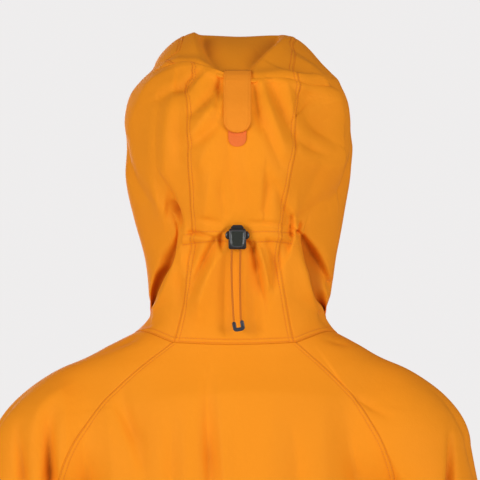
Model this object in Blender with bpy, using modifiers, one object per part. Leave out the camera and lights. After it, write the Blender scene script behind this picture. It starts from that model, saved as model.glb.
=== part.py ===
"""Hooded raglan rain jacket, hollow, in the pose in which it is worn with its hood up.

The garment faces -Y and +Z is up. The origin is the middle of the neck, level with the back neck seam.
Sizes are in millimetres and meshes are written in metres. Left is the wearer's left, +X.
"""

import math

import bmesh
import bpy
import numpy as np
from mathutils import Matrix, Vector
from mathutils.bvhtree import BVHTree

MM = 0.001
CLOTH = 1.5  # wall of the coated cloth
SEAM_GAP = 0.3  # between two pieces that are sewn together
LAID_GAP = 0.4  # between a piece and the panel that it lies on

HEM_Z = -735
CUFF_Z = -640
UNDERARM = (174, 5, -214)

BODY_ROWS_BELOW = 7  # rows of facets from the hem or cuff to the underarm
BODY_ROWS_ABOVE = 13  # and from the underarm to the neck
BACK_COLUMNS = 12
SLEEVE_COLUMNS = 12
FRONT_COLUMNS = 6


def table(columns, *rows):
    """A short table of sections: one array for each named column."""
    return dict(zip(columns.split(), np.array(rows, float).T))


def soft_step(value, low, high):
    """0 below low, 1 above high, and a soft S between them."""
    share = np.clip((value - low) / (high - low), 0, 1)
    return share * share * (3 - 2 * share)


def hill(distance, width):
    """1 in the middle, falling softly to 0 at about twice the width."""
    return np.exp(-((distance / width) ** 2))


def cubic(start, end, start_slope, end_slope, step, share):
    """The curve between two values that has the given slopes there."""
    flat = start * (1 + 2 * share) * (1 - share) ** 2 + end * share * share * (3 - 2 * share)
    return flat + step * share * (1 - share) * (start_slope * (1 - share) - end_slope * share)


def interval(places, at):
    """Which stretch of the places each value lies in, how long that is, and its share of it."""
    at = np.clip(at, places[0], places[-1])
    i = np.clip(np.searchsorted(places, at, side="right") - 1, 0, len(places) - 2)
    step = places[i + 1] - places[i]
    return i, step, (at - places[i]) / step


def along(sections, column, at):
    """A named column at a place on the table's first column: a smooth curve through its rows."""
    places = next(iter(sections.values()))
    value = sections[column]
    slope = np.gradient(value, places)
    i, step, share = interval(places, at)
    return cubic(value[i], value[i + 1], slope[i], slope[i + 1], step, share)


def path(sections, at):
    """Points of the curve whose x, y and z are columns of the table."""
    return np.stack([along(sections, axis, at) for axis in "xyz"], axis=-1)


def unit(vectors):
    return vectors / np.linalg.norm(vectors, axis=-1, keepdims=True)


# ---------------------------------------------------------------- the form of the body and sleeves

TORSO = table(
    "z half_width back front squareness",
    (-735, 200, 150, -164, 2.5),
    (-600, 190, 147, -160, 2.5),
    (-450, 181, 142, -153, 2.6),
    (-330, 178, 147, -152, 2.6),
    (-230, 173, 146, -141, 2.5),
    (-150, 180, 138, -124, 2.3),
    (-90, 186, 124, -105, 2.1),
    (-50, 186, 111, -89, 1.9),
    (-25, 176, 102, -76, 1.8),
    (-8, 152, 96, -67, 1.8),
    (4, 130, 92, -61, 1.9),
    (16, 107, 89, -56, 2.0),
    (40, 86, 84, -50, 2.0),
)
ARM = table(
    "z x y across deep",
    (-640, 287, -40, 43, 50),
    (-530, 276, -14, 47, 57),
    (-430, 264, 3, 50, 65),
    (-330, 252, 7, 53, 72),
    (-230, 238, 5, 57, 78),
    (-170, 219, 4, 67, 80),
    (-118, 190, 3, 86, 82),
)
SHOULDER_RISE = 78  # of the rounded shoulder above the last arm section
SHOULDER_SLOPE = 1.75  # power of the shoulder's outline: 2 is round, 1 is a straight slope
BLEND = 42  # how softly the arm runs into the torso above the underarm


def torso_gap(p):
    """How far points lie outside the torso's superellipse sections, roughly."""
    x, y, z = np.moveaxis(p, -1, 0)
    back, front = along(TORSO, "back", z), along(TORSO, "front", z)
    power = along(TORSO, "squareness", z)
    deep = (back - front) / 2
    wide = along(TORSO, "half_width", z)
    ring = (np.abs(x) / wide) ** power + (np.abs(y - (back + front) / 2) / deep) ** power
    return (ring ** (1 / power) - 1) * deep


def arm_gap(p):
    """How far points lie outside the arm's oval sections and the rounded shoulder above them."""
    x, y, z = np.moveaxis(p, -1, 0)
    top = ARM["z"][-1]
    level = np.minimum(z, top)
    across = along(ARM, "across", level)
    side = np.abs(np.abs(x) - along(ARM, "x", level)) / across
    above = np.maximum(z - top, 0) / SHOULDER_RISE
    power = 2 - (2 - SHOULDER_SLOPE) * soft_step(z, top - 60, top)
    outline = (side**power + above**power) ** (2 / power)
    front = (y - along(ARM, "y", level)) / along(ARM, "deep", level)
    return (np.sqrt(outline + front**2) - 1) * across


def form_gap(p):
    """The torso and arms as one form: a soft union above the underarm, a plain one below it."""
    torso, arm = torso_gap(p), arm_gap(p)
    soft = 1 + BLEND * soft_step(p[..., 2], UNDERARM[2], UNDERARM[2] + 90)
    share = np.clip(0.5 + (torso - arm) / (2 * soft), 0, 1)
    return torso * (1 - share) + arm * share - soft * share * (1 - share)


def slope_of(gap, p, step=0.5):
    """The unit direction in which the gap grows."""
    grown = [gap(p + offset) - gap(p - offset) for offset in np.eye(3) * step]
    return unit(np.stack(grown, axis=-1))


def cast(gap, start, direction, reach=330, steps=150, halvings=20):
    """Where rays from inside a form first leave it: a march outwards, then halving."""
    direction = unit(direction)
    far = np.full(direction.shape[:-1], float(reach))
    found = np.zeros(far.shape, bool)
    for distance in np.linspace(0, reach, steps)[1:]:
        outside = gap(start + direction * distance) > 0
        far = np.where(outside & ~found, distance, far)
        found |= outside
    near = far - reach / (steps - 1)
    for _ in range(halvings):
        middle = (near + far) / 2
        outside = gap(start + direction * middle[..., None]) > 0
        far, near = np.where(outside, middle, far), np.where(outside, near, middle)
    return start + direction * far[..., None]


# ---------------------------------------------------------------- seams of the body and sleeves

BACK_RAGLAN = table(  # as seen from behind; t runs from the underarm to the neck
    "t x z",
    (0.00, UNDERARM[0], UNDERARM[2]),
    (0.14, 187, -190),
    (0.30, 188, -150),
    (0.45, 175, -114),
    (0.60, 158, -86),
    (0.74, 137, -58),
    (0.88, 106, -27),
    (1.00, 70, 3),
)
FRONT_RAGLAN = table(
    "t x z",
    (0.00, UNDERARM[0], UNDERARM[2]),
    (0.14, 181, -191),
    (0.30, 175, -157),
    (0.45, 160, -125),
    (0.60, 144, -99),
    (0.74, 126, -74),
    (0.88, 107, -48),
    (1.00, 87, -24),
)
BACK_NECK_DROP = 2  # of the middle of the back neck below the ends of its seam
FRONT_NECK_DROP = 38
NECK_SIDE_RISE = 23  # of the neck seam over the shoulder, above the line between the raglans
ARMPIT_CLEARANCE = 1.2  # of the sleeve from the body where they turn into the armpit
ZIP_EDGE = 9  # from the middle of the front to the edge of each front
SLEEVE_AXIS = table(
    "level x y z out_x out_z",
    (-1.00, 287, -40, CUFF_Z, 1.00, 0.12),
    (-0.74, 276, -14, -530, 1.00, 0.12),
    (-0.51, 264, 3, -430, 1.00, 0.12),
    (-0.27, 252, 7, -330, 1.00, 0.12),
    (0.00, 236, 5, -214, 1.00, 0.12),
    (0.25, 216, 5, -163, 0.94, 0.34),
    (0.50, 182, 6, -112, 0.76, 0.65),
    (0.75, 138, 9, -66, 0.50, 0.87),
    (1.00, 90, 10, -32, 0.30, 0.95),
)


def levels(below, above):
    """Rows from -1 at the hem or cuff, through 0 at the underarm, to 1 at the neck."""
    rising = np.linspace(0, 1, above + 1) ** 1.5  # closer together where the seams turn most
    return np.concatenate([np.linspace(-1, 0, below + 1)[:-1], rising])


def raglan(seam, level, facing):
    """Points of a raglan seam on the form; facing is 1 for the back and -1 for the front."""
    t = np.clip(level, 0, 1)
    x, z = along(seam, "x", t), along(seam, "z", t)
    inside = np.stack([x, np.full_like(x, UNDERARM[1]), z], axis=-1)
    points = cast(form_gap, inside, np.broadcast_to([0.0, facing, 0.0], inside.shape))
    return np.where((t > 0)[..., None], points, np.array(UNDERARM, float))


def torso_middle(z):
    return (along(TORSO, "back", z) + along(TORSO, "front", z)) / 2


def torso_ring(angles, z):
    """Points on the form at angles around the torso (90 degrees is the back) and at heights."""
    start = np.stack([np.zeros_like(z), torso_middle(z), z], axis=-1)
    return cast(form_gap, start, np.stack([np.cos(angles), np.sin(angles), 0 * z], axis=-1))


def angle_of(p):
    return np.arctan2(p[..., 1] - torso_middle(p[..., 2]), p[..., 0])


def front_edge_angle(z):
    """Where the edge of a front stands beside the zip."""
    return -np.pi / 2 + np.arctan(ZIP_EDGE / (torso_middle(z) - along(TORSO, "front", z)))


def panel_edge(seam, level, facing):
    """The edge of a back or front: its raglan seam, and below the underarm its side seam."""
    below = UNDERARM[2] + np.minimum(level, 0) * (UNDERARM[2] - HEM_Z)
    side = torso_ring(np.zeros_like(below), below)
    return np.where((level >= 0)[..., None], raglan(seam, level, facing), side)


def back_grid(level, columns):
    """The back: rows up from the hem, columns from its right edge to its left edge."""
    edge = panel_edge(BACK_RAGLAN, level, 1)
    across = np.linspace(-1, 1, columns + 1)[None]
    start = angle_of(edge)[:, None]
    drop = (BACK_NECK_DROP * np.maximum(level, 0))[:, None] * (1 - across**2)
    grid = torso_ring(np.pi / 2 - across * (np.pi / 2 - start), edge[:, 2:] - drop)
    grid[:, -1] = edge
    grid[:, 0] = edge * (-1, 1, 1)
    return grid


def front_grid(level, columns):
    """The left front: columns from its side and raglan seams to the zip."""
    edge = panel_edge(FRONT_RAGLAN, level, -1)
    share = np.linspace(0, 1, columns + 1)[None]
    drop = (FRONT_NECK_DROP * np.maximum(level, 0))[:, None] * share**1.3
    z = edge[:, 2:] - drop
    start = angle_of(edge)[:, None]
    grid = torso_ring(start + (front_edge_angle(z) - start) * share, z)
    grid[:, 0] = edge
    return grid


def neck_over_shoulder(columns):
    """The left neck seam between the raglans, from the back to the front."""
    back = raglan(BACK_RAGLAN, np.ones(1), 1)[0]
    front = raglan(FRONT_RAGLAN, np.ones(1), -1)[0]
    share = np.linspace(0, 1, columns + 1)
    z = back[2] + (front[2] - back[2]) * share + NECK_SIDE_RISE * np.sin(np.pi * share)
    return torso_ring(angle_of(back) + (angle_of(front) - angle_of(back)) * share, z)


def sleeve_grid(level, columns):
    """The left sleeve: rows up from the cuff, columns from its back edge over the arm to its front
    edge. Each row is a fan of rays from the arm's axis; below the underarm it goes all the way round."""
    axis = path(SLEEVE_AXIS, level)
    ahead = unit(path(SLEEVE_AXIS, level + 0.02) - path(SLEEVE_AXIS, level - 0.02))
    out_x, out_z = along(SLEEVE_AXIS, "out_x", level), along(SLEEVE_AXIS, "out_z", level)
    out = np.stack([out_x, 0 * out_x, out_z], axis=-1)
    out = unit(out - (out * ahead).sum(-1, keepdims=True) * ahead)
    back = np.cross(ahead, out)
    back = back * np.sign(back[:, 1:2])
    share = np.linspace(0, 1, columns + 1)[None]
    angles, rises, edges = [], [], []
    for seam, facing in ((BACK_RAGLAN, 1), (FRONT_RAGLAN, -1)):
        edge = raglan(seam, level, facing)
        reach = edge - axis
        flat_out, flat_back = (reach * out).sum(-1), facing * (reach * back).sum(-1)
        angles.append(facing * np.where(level > 0, np.arctan2(flat_back, flat_out), np.pi))
        rises.append(np.where(level > 0, (reach * ahead).sum(-1) / np.hypot(flat_out, flat_back), 0))
        edges.append(edge)
    angle = angles[0][:, None] + (angles[1] - angles[0])[:, None] * share
    rise = rises[0][:, None] * np.clip(1 - 2 * share, 0, 1) ** 1.5
    rise = rise + rises[1][:, None] * np.clip(2 * share - 1, 0, 1) ** 1.5
    aim = [np.cos(angle)[..., None] * out[:, None], np.sin(angle)[..., None] * back[:, None]]
    direction = unit(aim[0] + aim[1] + rise[..., None] * ahead[:, None])
    neck = neck_over_shoulder(columns)
    turn = soft_step(level, 0.45, 1.0)[:, None, None]
    direction = direction + turn * (unit(neck - axis[-1]) - direction[-1])
    start = np.broadcast_to(axis[:, None], direction.shape)
    above = (level > 0)[:, None, None]
    grid = np.where(above, cast(form_gap, start, direction), cast(arm_gap, start, direction))
    joined = level >= 0
    grid[joined, 0], grid[joined, -1] = edges[0][joined], edges[1][joined]
    grid[-1] = neck
    return grid


# ---------------------------------------------------------------- the hood

SEAM_V, SIDE_V = 0.34, 0.67  # places across half a section: its panel seam and its widest point
HOOD = table(
    "u  cy cz  ex ey ez  sx sy sz  wx wy wz",
    (0, 93, 1, 69, 80, 3, 115, -3, 10, 9, -93, -61),
    (28, 92, 28, 62, 81, 29, 99, 0, 31, 9, -101, -36),
    (62, 93, 62, 56, 84, 61, 102, -2, 54, 9, -109, -8),
    (118, 96, 117, 51, 87, 116, 109, -10, 98, 20, -122, 30),
    (165, 108, 163, 54, 96, 161, 121, -16, 142, 52, -140, 68),
    (215, 117, 212, 61, 100, 210, 130, -22, 188, 75, -150, 104),
    (262, 108, 259, 65, 86, 255, 134, -30, 226, 84, -156, 136),
    (298, 86, 288, 67, 66, 282, 137, -40, 253, 87, -160, 158),
    (325, 66, 305, 67, 49, 300, 135, -50, 269, 87, -163, 173),
    (372, 22, 328, 70, 10, 325, 127, -68, 284, 87, -167, 192),
    (425, -30, 347, 71, -36, 344, 116, -95, 294, 86, -171, 208),
    (485, -88, 358, 71, -90, 354, 109, -127, 295, 85, -174, 223),
    (545, -145, 347, 67, -146, 337, 99, -158, 284, 84, -176, 237),
    (578, -174, 334, 64, -172, 322, 92, -173, 276, 83, -177, 246),
)
BROW_U = 578
ZIP_TOP_U = 96
HOOD_ROWS = (0, 14, 34, 56, 78, ZIP_TOP_U, 107, 118, 132, 156, 186, 218, 248, 275)
HOOD_ROWS += (296, 309, 316, 322, 333, 352, 380, 415, 458, 503, 545, BROW_U)

RIDGE_U = 322  # row that follows the ridge of the tuck
RIDGE = table(  # the overhanging tuck where the tab draws the crown back; v is negative on the right
    "v u out under",
    (-0.80, 270, 0, 0),
    (-0.62, 290, 4, 2),
    (-0.50, 313, 9, 5),
    (-0.38, 321, 9, 6),
    (-0.23, 322, 8, 7),
    (-0.08, 315, 8, 8),
    (0.08, 327, 8, 8),
    (0.20, 344, 8, 7),
    (0.36, 365, 7, 5),
    (0.50, 363, 3, 2),
    (0.62, 355, 0, 0),
)
HOOD_FOLDS = table(  # soft troughs (in > 0) and ridges (in < 0) of the hood, from one place to another
    "u0 v0 u1 v1 width inward",
    (108, 0.44, 12, 0.60, 12, 13),
    (106, -0.42, 14, -0.62, 12, 12),
    (118, 0.42, 118, 0.72, 13, 6),
    (118, -0.42, 118, -0.72, 13, 6),
    (118, -0.30, 118, 0.30, 9, -2.5),
    (150, 0.43, 250, 0.60, 16, 6),
    (150, -0.45, 250, -0.52, 15, 6),
    (285, 0.50, 262, 0.70, 14, 7),
    (420, 0.17, 330, 0.05, 16, 5),
    (430, -0.16, 335, -0.06, 16, 5),
)
ACROSS_MM = 270  # rough length of half a hood section, to measure folds in


def section_points(u):
    """The four points that shape half a section: middle, panel seam, widest side and opening edge."""
    middle = np.stack([0 * u, along(HOOD, "cy", u), along(HOOD, "cz", u)], axis=-1)
    rest = [np.stack([along(HOOD, key + axis, u) for axis in "xyz"], axis=-1) for key in "esw"]
    return middle, *rest


def choose(layers, index):
    """From a stack of point grids, the point of the layer that each place asks for."""
    index = np.broadcast_to(index[None, ..., None], (1, *layers.shape[1:]))
    return np.take_along_axis(layers, index, axis=0)[0]


def plain_hood(u, v):
    """The hood without folds: a smooth curve across each section, mirrored about the middle."""
    middle, seam, side, edge = section_points(u)
    places = np.array([-SEAM_V, 0, SEAM_V, SIDE_V, 1])
    values = np.stack([seam * (-1, 1, 1), middle, seam, side, edge])
    slopes = np.gradient(values, places, axis=0)
    i, step, share = interval(places, np.abs(v))
    ends = [choose(data, k) for data in (values, slopes) for k in (i, i + 1)]
    points = cubic(*ends, step[..., None], share[..., None])
    points[..., 0] *= np.where(v < 0, -1, 1)
    return points


def fold_depth(folds, u, v):
    """How far the folds draw a place inwards: a soft trough along each, fading at its ends."""
    depth = 0 * u
    for u0, v0, u1, v1, width, inward in zip(*folds.values()):
        start, run = np.array([u0, v0 * ACROSS_MM]), np.array([u1 - u0, (v1 - v0) * ACROSS_MM])
        place = np.stack([u, v * ACROSS_MM], axis=-1) - start
        share = (place @ run) / (run @ run)
        away = np.linalg.norm(place - np.clip(share, 0, 1)[..., None] * run, axis=-1)
        fade = 0.35 + 0.65 * np.sin(np.pi * np.clip(share, 0, 1))
        depth = depth + inward * fade * hill(away, width)
    return depth


def surface_normals(grid):
    """Unit normals of a grid whose rows go up and whose columns go to the left, seen from outside."""
    up, left = np.gradient(grid, axis=0), np.gradient(grid, axis=1)
    return unit(np.cross(up, left))


def hood_grid(rows, neck, columns_v):
    """The whole hood: rows up from the neck, columns from the right opening edge to the left one."""
    row_u = np.asarray(rows, float)[:, None]
    v = np.asarray(columns_v)[None]
    ridge = along(RIDGE, "u", v)
    u = row_u + (ridge - RIDGE_U) * hill(row_u - RIDGE_U, 80)
    u, v = np.broadcast_arrays(np.clip(u, 0, BROW_U), v)
    grid = plain_hood(u, v)
    grid = grid + (neck - grid[0]) * (1 - soft_step(row_u, 0, 60))[..., None]
    normals = surface_normals(grid)
    above = row_u - RIDGE_U
    lip = np.where(above > 0, hill(above, 30), hill(above, 7))
    hollow = hill(above + 17, 12) * (above < 0)
    out = along(RIDGE, "out", v) * (lip - 0.45 * hollow)
    out = out - fold_depth(HOOD_FOLDS, row_u + 0 * u, v) * soft_step(row_u, 2, 30)
    slip = along(RIDGE, "under", v) * hill(above, 11)
    down = unit(np.gradient(grid, axis=0))
    return grid + normals * out[..., None] - down * slip[..., None]


# ---------------------------------------------------------------- folds of the body and sleeves

BODY_FOLDS = table(  # facing is 1 on the back and -1 on the front; inward is negative for a ridge
    "x0 z0 x1 z1 width inward facing",
    (205, -60, 215, -150, 22, -6, 1),
    (126, -60, 112, -108, 15, 3, 1),
    (32, -55, 22, -150, 18, 3, 1),
    (-236, -104, -240, -190, 17, -4, 1),
    (150, -190, 92, -330, 22, 6, 1),
    (-152, -195, -84, -345, 24, 7, 1),
    (60, -420, 84, -735, 26, 7, 1),
    (-48, -400, -70, -735, 28, 8, 1),
    (150, -200, 104, -345, 22, 6, -1),
    (-150, -210, -96, -360, 24, 7, -1),
    (80, -430, 100, -735, 26, 8, -1),
    (-90, -410, -82, -735, 28, 7, -1),
    (228, -300, 292, -338, 14, 6, 1),
    (-232, -292, -294, -326, 15, 6, 1),
    (232, -352, 290, -322, 14, 6, -1),
    (-230, -350, -292, -330, 14, 6, -1),
    (252, -560, 316, -582, 13, 5, 1),
    (-250, -566, -318, -590, 13, 5, 1),
    (250, -596, 318, -566, 13, 5, -1),
    (-252, -590, -318, -570, 13, 5, -1),
)


def body_depth(points, normals):
    """How far the folds draw places of the body or sleeves inwards, seen from the back or front."""
    depth = 0 * points[..., 0]
    fade_to_neck = soft_step(-points[..., 2], 20, 60)
    for x0, z0, x1, z1, width, inward, facing in zip(*BODY_FOLDS.values()):
        run = np.array([x1 - x0, z1 - z0])
        place = points[..., [0, 2]] - (x0, z0)
        share = (place @ run) / (run @ run)
        away = np.linalg.norm(place - np.clip(share, 0, 1)[..., None] * run, axis=-1)
        faces = soft_step(normals[..., 1] * facing, 0.05, 0.6)
        depth = depth + inward * faces * hill(away, width)
    return depth * fade_to_neck


def folded(grid, level, own_gap):
    """A body or sleeve grid with its folds, and the normals that it shares with its neighbours."""
    above = (level > 0)[:, None, None]
    normals = np.where(above, slope_of(form_gap, grid), slope_of(own_gap, grid))
    return grid - normals * body_depth(grid, normals)[..., None], normals


# ---------------------------------------------------------------- cloth walls


def pull_in(grid, edges, open_from=0):
    """Draws the named edges of a grid in by half a seam gap, the side edges from a row upwards."""
    grid = grid.copy()
    for edge in edges:
        at, next_in = (0, 1) if edge in ("bottom", "first") else (-1, -2)
        if edge in ("bottom", "top"):
            grid[at] += unit(grid[next_in] - grid[at]) * SEAM_GAP / 2
        else:
            inward = unit(grid[open_from:, next_in] - grid[open_from:, at])
            grid[open_from:, at] += inward * SEAM_GAP / 2
    return grid


def add_object(name, mesh, material):
    """Writes a bmesh as an object of the jacket."""
    bmesh.ops.recalc_face_normals(mesh, faces=mesh.faces)
    data = bpy.data.meshes.new(name)
    mesh.to_mesh(data)
    mesh.free()
    data.shade_smooth()
    data.set_sharp_from_angle(angle=math.radians(40))
    data.materials.append(material)
    piece = bpy.data.objects.new(name, data)
    parts.objects.link(piece)
    return piece


def wall(name, outer, normals, material, ring_rows=0, thick=CLOTH):
    """A closed wall of cloth under a grid of outer points, as triangles. Its inner face follows the
    normals that neighbouring pieces share, so that the two sides of a seam stay parallel. The first
    ring_rows rows go all the way round: their first and last points are one."""
    rows, columns = outer.shape[:2]
    sheets = np.stack([outer, outer - normals * thick]) * MM
    mesh = bmesh.new()
    corner = {}
    for s, r, c in np.ndindex(2, rows, columns):
        ring_end = r < ring_rows and c == columns - 1
        corner[s, r, c] = corner[s, r, 0] if ring_end else mesh.verts.new(sheets[s, r, c])
    for r, c in np.ndindex(rows - 1, columns - 1):
        low, right, high, left = (r, c), (r, c + 1), (r + 1, c + 1), (r + 1, c)
        for triangle in ((low, right, high), (low, high, left)):
            mesh.faces.new([corner[0, *k] for k in triangle])
            mesh.faces.new([corner[1, *k] for k in reversed(triangle)])
    border = [(0, c) for c in range(columns)] + [(r, columns - 1) for r in range(1, rows)]
    border += [(rows - 1, c) for c in reversed(range(columns - 1))]
    border += [(r, 0) for r in reversed(range(1, rows - 1))]
    for a, b in zip(border, border[1:] + border[:1]):
        inside_ring = a[1] == b[1] and min(a[0], b[0]) < ring_rows - 1
        if not inside_ring:
            mesh.faces.new([corner[0, *b], corner[0, *a], corner[1, *a]])
            mesh.faces.new([corner[0, *b], corner[1, *a], corner[1, *b]])
    return add_object(name, mesh, material)


def mirrored(grid):
    """The same grid or normals on the other side, with the columns still in the same sense."""
    return grid[:, ::-1] * (-1, 1, 1)


def paint(name, colour, roughness, metallic=0.0):
    material = bpy.data.materials.new(name)
    material.use_nodes = True
    shader = material.node_tree.nodes["Principled BSDF"]
    shader.inputs["Base Color"].default_value = (*colour, 1)
    shader.inputs["Roughness"].default_value = roughness
    shader.inputs["Metallic"].default_value = metallic
    return material


# ---------------------------------------------------------------- the pieces

for old in list(bpy.data.objects):
    bpy.data.objects.remove(old)
parts = bpy.data.collections.new("hooded_jacket")
cutters = bpy.data.collections.new("cutters")
for collection in (parts, cutters):
    bpy.context.scene.collection.children.link(collection)

CLOTH_COLOUR = (0.86, 0.28, 0.025)
CLOTH_ROUGHNESS = 0.5


def cloth_paint(name):
    return paint(f"{name}_cloth", CLOTH_COLOUR, CLOTH_ROUGHNESS)


def build_body():
    """The back, fronts and sleeves. Returns the neck seam, from the right zip edge to the left one."""
    level = levels(BODY_ROWS_BELOW, BODY_ROWS_ABOVE)
    underarm = BODY_ROWS_BELOW
    back, back_normals = folded(back_grid(level, BACK_COLUMNS), level, torso_gap)
    wall("back", pull_in(back, ("first", "last", "top")), back_normals, cloth_paint("back"))
    left_neck = [back[-1, BACK_COLUMNS // 2 :]]
    front = front_grid(level, FRONT_COLUMNS)
    sleeve = sleeve_grid(level, SLEEVE_COLUMNS)
    for side, turn in (("left", np.array), ("right", mirrored)):
        edge = "first" if side == "left" else "last"
        piece, normals = folded(turn(front), level, torso_gap)
        wall(f"front_{side}", pull_in(piece, (edge, "top")), normals, cloth_paint(f"front_{side}"))
        keep_zip_edge(side, piece, normals, slice(None))
        arm, normals = folded(turn(sleeve), level, arm_gap)
        arm_piece = pull_in(arm, ("first", "last", "top"), open_from=underarm + 1)
        clear = ARMPIT_CLEARANCE * (1 - soft_step(level[underarm:], 0, 0.35))
        for column in (0, -1):
            arm_piece[underarm:, column, 0] += clear * np.sign(arm[underarm, 0, 0])
        name = f"sleeve_{side}"
        wall(name, arm_piece, normals, cloth_paint(name), ring_rows=underarm + 1)
        if side == "left":
            left_neck += [arm[-1, 1:], piece[-1, 1:]]
    left_neck = np.concatenate(left_neck)
    return np.concatenate([left_neck[:0:-1] * (-1, 1, 1), left_neck])


def keep_zip_edge(side, grid, normals, rows):
    """Notes a panel's edge beside the zip, its normals there and the direction into the panel."""
    at, next_in = (-1, -2) if side == "left" else (0, 1)
    edge = grid[rows, at]
    zip_edges[side].append(np.stack([edge, normals[rows, at], unit(grid[rows, next_in] - edge)]))


def hood_columns():
    """Places across the hood that meet the neck seam's points one to one."""
    centre = np.linspace(0, SEAM_V, BACK_COLUMNS // 2 + 1)
    side = np.linspace(SEAM_V, 1, SLEEVE_COLUMNS + FRONT_COLUMNS + 1)[1:]
    half = np.concatenate([centre, side])
    return np.concatenate([-half[:0:-1], half])


def build_hood(neck):
    """The three panels of the hood. Returns the outer points of the centre panel."""
    grid = hood_grid(HOOD_ROWS, neck, hood_columns())
    normals = surface_normals(grid)
    side = SLEEVE_COLUMNS + FRONT_COLUMNS
    cuts = {
        "hood_side_right": (slice(None, side + 1), ("last", "bottom")),
        "hood_centre": (slice(side, side + BACK_COLUMNS + 1), ("first", "last", "bottom")),
        "hood_side_left": (slice(side + BACK_COLUMNS, None), ("first", "bottom")),
    }
    for name, (columns, edges) in cuts.items():
        panel = pull_in(grid[:, columns], edges)
        wall(name, panel, normals[:, columns], cloth_paint(name))
    for edge_side in ("left", "right"):
        keep_zip_edge(edge_side, grid, normals, slice(HOOD_ROWS.index(ZIP_TOP_U) + 1))
    return grid[:, cuts["hood_centre"][0]]


zip_edges = {"left": [], "right": []}
neck_seam = build_body()
centre_panel = build_hood(neck_seam)


# ---------------------------------------------------------------- what lies on the hood's centre panel

TAB_TOP_Z = 306
TAB_END_Z = 236
TAB_HALF_WIDTH = 15.5
TAB_THICK = 2.2  # two layers of cloth
PATCH_TOP_Z = 262
PATCH_END_Z = 221
PATCH_RADIUS = 10
PATCH_THICK = 1.2
PATCH_GAP = 0.8  # of the patch from the panel, which is faceted more coarsely
TAB_FALL = 42  # height above the patch over which the tab comes down to it
PROFILE_STEP = 1.5  # between places where the panel is measured under the tab
LAST_TURN = 80  # degrees of a strip's round end, short of a quarter turn to keep its last row wide


def panel_surface():
    """A search tree over the facets of the hood's centre panel, to find what lies behind a place."""
    rows, columns = centre_panel.shape[:2]
    triangles = []
    for r, c in np.ndindex(rows - 1, columns - 1):
        corner = r * columns + c
        opposite = corner + columns + 1
        triangles += [(corner, corner + 1, opposite), (corner, opposite, corner + columns)]
    return BVHTree.FromPolygons(centre_panel.reshape(-1, 3).tolist(), triangles)


def panel_y(x, z):
    """How far back the outside of the panel reaches at each place of a grid seen from behind."""
    behind = 300.0
    hits = [panel_tree.ray_cast((a, behind, b), (0, -1, 0))[0] for a, b in zip(x.flat, z.flat)]
    return np.array([hit[1] for hit in hits]).reshape(x.shape)


def stretched_over(z, y):
    """A profile pulled tight over its outermost points, as a stiff tab bridges a hollow."""
    tight = y.copy()
    for i in range(len(z)):
        for j in range(i + 2, len(z)):
            between = slice(i + 1, j)
            chord = y[i] + (y[j] - y[i]) * (z[between] - z[i]) / (z[j] - z[i])
            tight[between] = np.maximum(tight[between], chord)
    return tight


def rounded_strip(top, end, radius, straight_rows, round_rows, columns):
    """A strip seen from behind, square at its top and round at its lower end: x and z of its grid."""
    turn = np.linspace(0, np.radians(LAST_TURN), round_rows + 1)
    straight = np.linspace(top, end + radius, straight_rows + 1)[:-1]
    z = np.concatenate([straight, end + radius - radius * np.sin(turn)])[::-1]
    half = np.concatenate([np.full(straight_rows, radius), radius * np.cos(turn)])[::-1]
    x = half[:, None] * np.linspace(-1, 1, columns + 1)[None]
    return x, np.broadcast_to(z[:, None], x.shape)


def build_patch():
    x, z = rounded_strip(PATCH_TOP_Z, PATCH_END_Z, PATCH_RADIUS, 6, 6, 4)
    on_panel = np.stack([x, panel_y(x, z), z], axis=-1)
    normals = surface_normals(on_panel)
    outer = on_panel + normals * (PATCH_GAP + PATCH_THICK)
    wall("tab_loop_patch", outer, normals, paint("loop_tape", (0.8, 0.12, 0.03), 0.9), thick=PATCH_THICK)


def build_tab():
    """The tab bridges the hollow under the tuck and lies over the loop patch."""
    x, z = rounded_strip(TAB_TOP_Z, TAB_END_Z, TAB_HALF_WIDTH, 18, 5, 4)
    fine_rows = np.arange(TAB_END_Z - PROFILE_STEP, TAB_TOP_Z + 2 * PROFILE_STEP, PROFILE_STEP)
    fine_x, fine_z = np.meshgrid(np.linspace(-TAB_HALF_WIDTH, TAB_HALF_WIDTH, 9), fine_rows)
    behind = stretched_over(fine_z[:, 0], panel_y(fine_x, fine_z).max(axis=1))
    y = np.interp(z, fine_z[:, 0], behind)
    level = np.stack([x, y, z], axis=-1)
    normals = surface_normals(level)
    over_patch = (PATCH_GAP + PATCH_THICK) * soft_step(-z, -PATCH_TOP_Z - TAB_FALL, -PATCH_TOP_Z)
    outer = level + normals * (over_patch + LAID_GAP + TAB_THICK)[..., None]
    wall("hood_tab", outer, normals, cloth_paint("tab"), thick=TAB_THICK)


panel_tree = panel_surface()
build_patch()
build_tab()

# ---------------------------------------------------------------- cord lock, cords and their end

LOCK_Z = (107, 130)  # lower and upper end of the lock's body
LOCK_WIDTH = 20
LOCK_DEPTH = 8.5
LOCK_GAP = 0.4
WING = (4, 9, 4.5)  # how far each side wing stands out, its height and its depth
WING_SET = 0.5  # of the wings from the lock's back
FACE_SIZE = (17.6, 1.4, 19.6)
FACE_RISE = 1  # of the face plate's lower edge above the lock's
FACE_ROUND = 0.5
BUTTON_SIZE = (14, 4.4, 14.5)  # the sprung plunger, of which the top stands out of the body
BUTTON_CORNER = 2.5  # cut off each top corner of the plunger
BUTTON_TOP_Z = 134
BUTTON_TRAVEL = 3
POCKET_CLEARANCE = 0.4
CORD_DIAMETER = 2.2
CORD_STANDOFF = 4.5  # of the cords' centre from the back of the lock
CORD_POINTS = 27
CORDS = table("left top_x end_x bow", (1, 6.4, 3.9, 1.0), (0, -3.4, -3.8, 0.6))
CLIP_SIZE = (14.4, 12.0, 4.2)
CLIP_TOP_Z = 27
CLIP_X = -1.2  # it hangs slightly to the right
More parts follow.
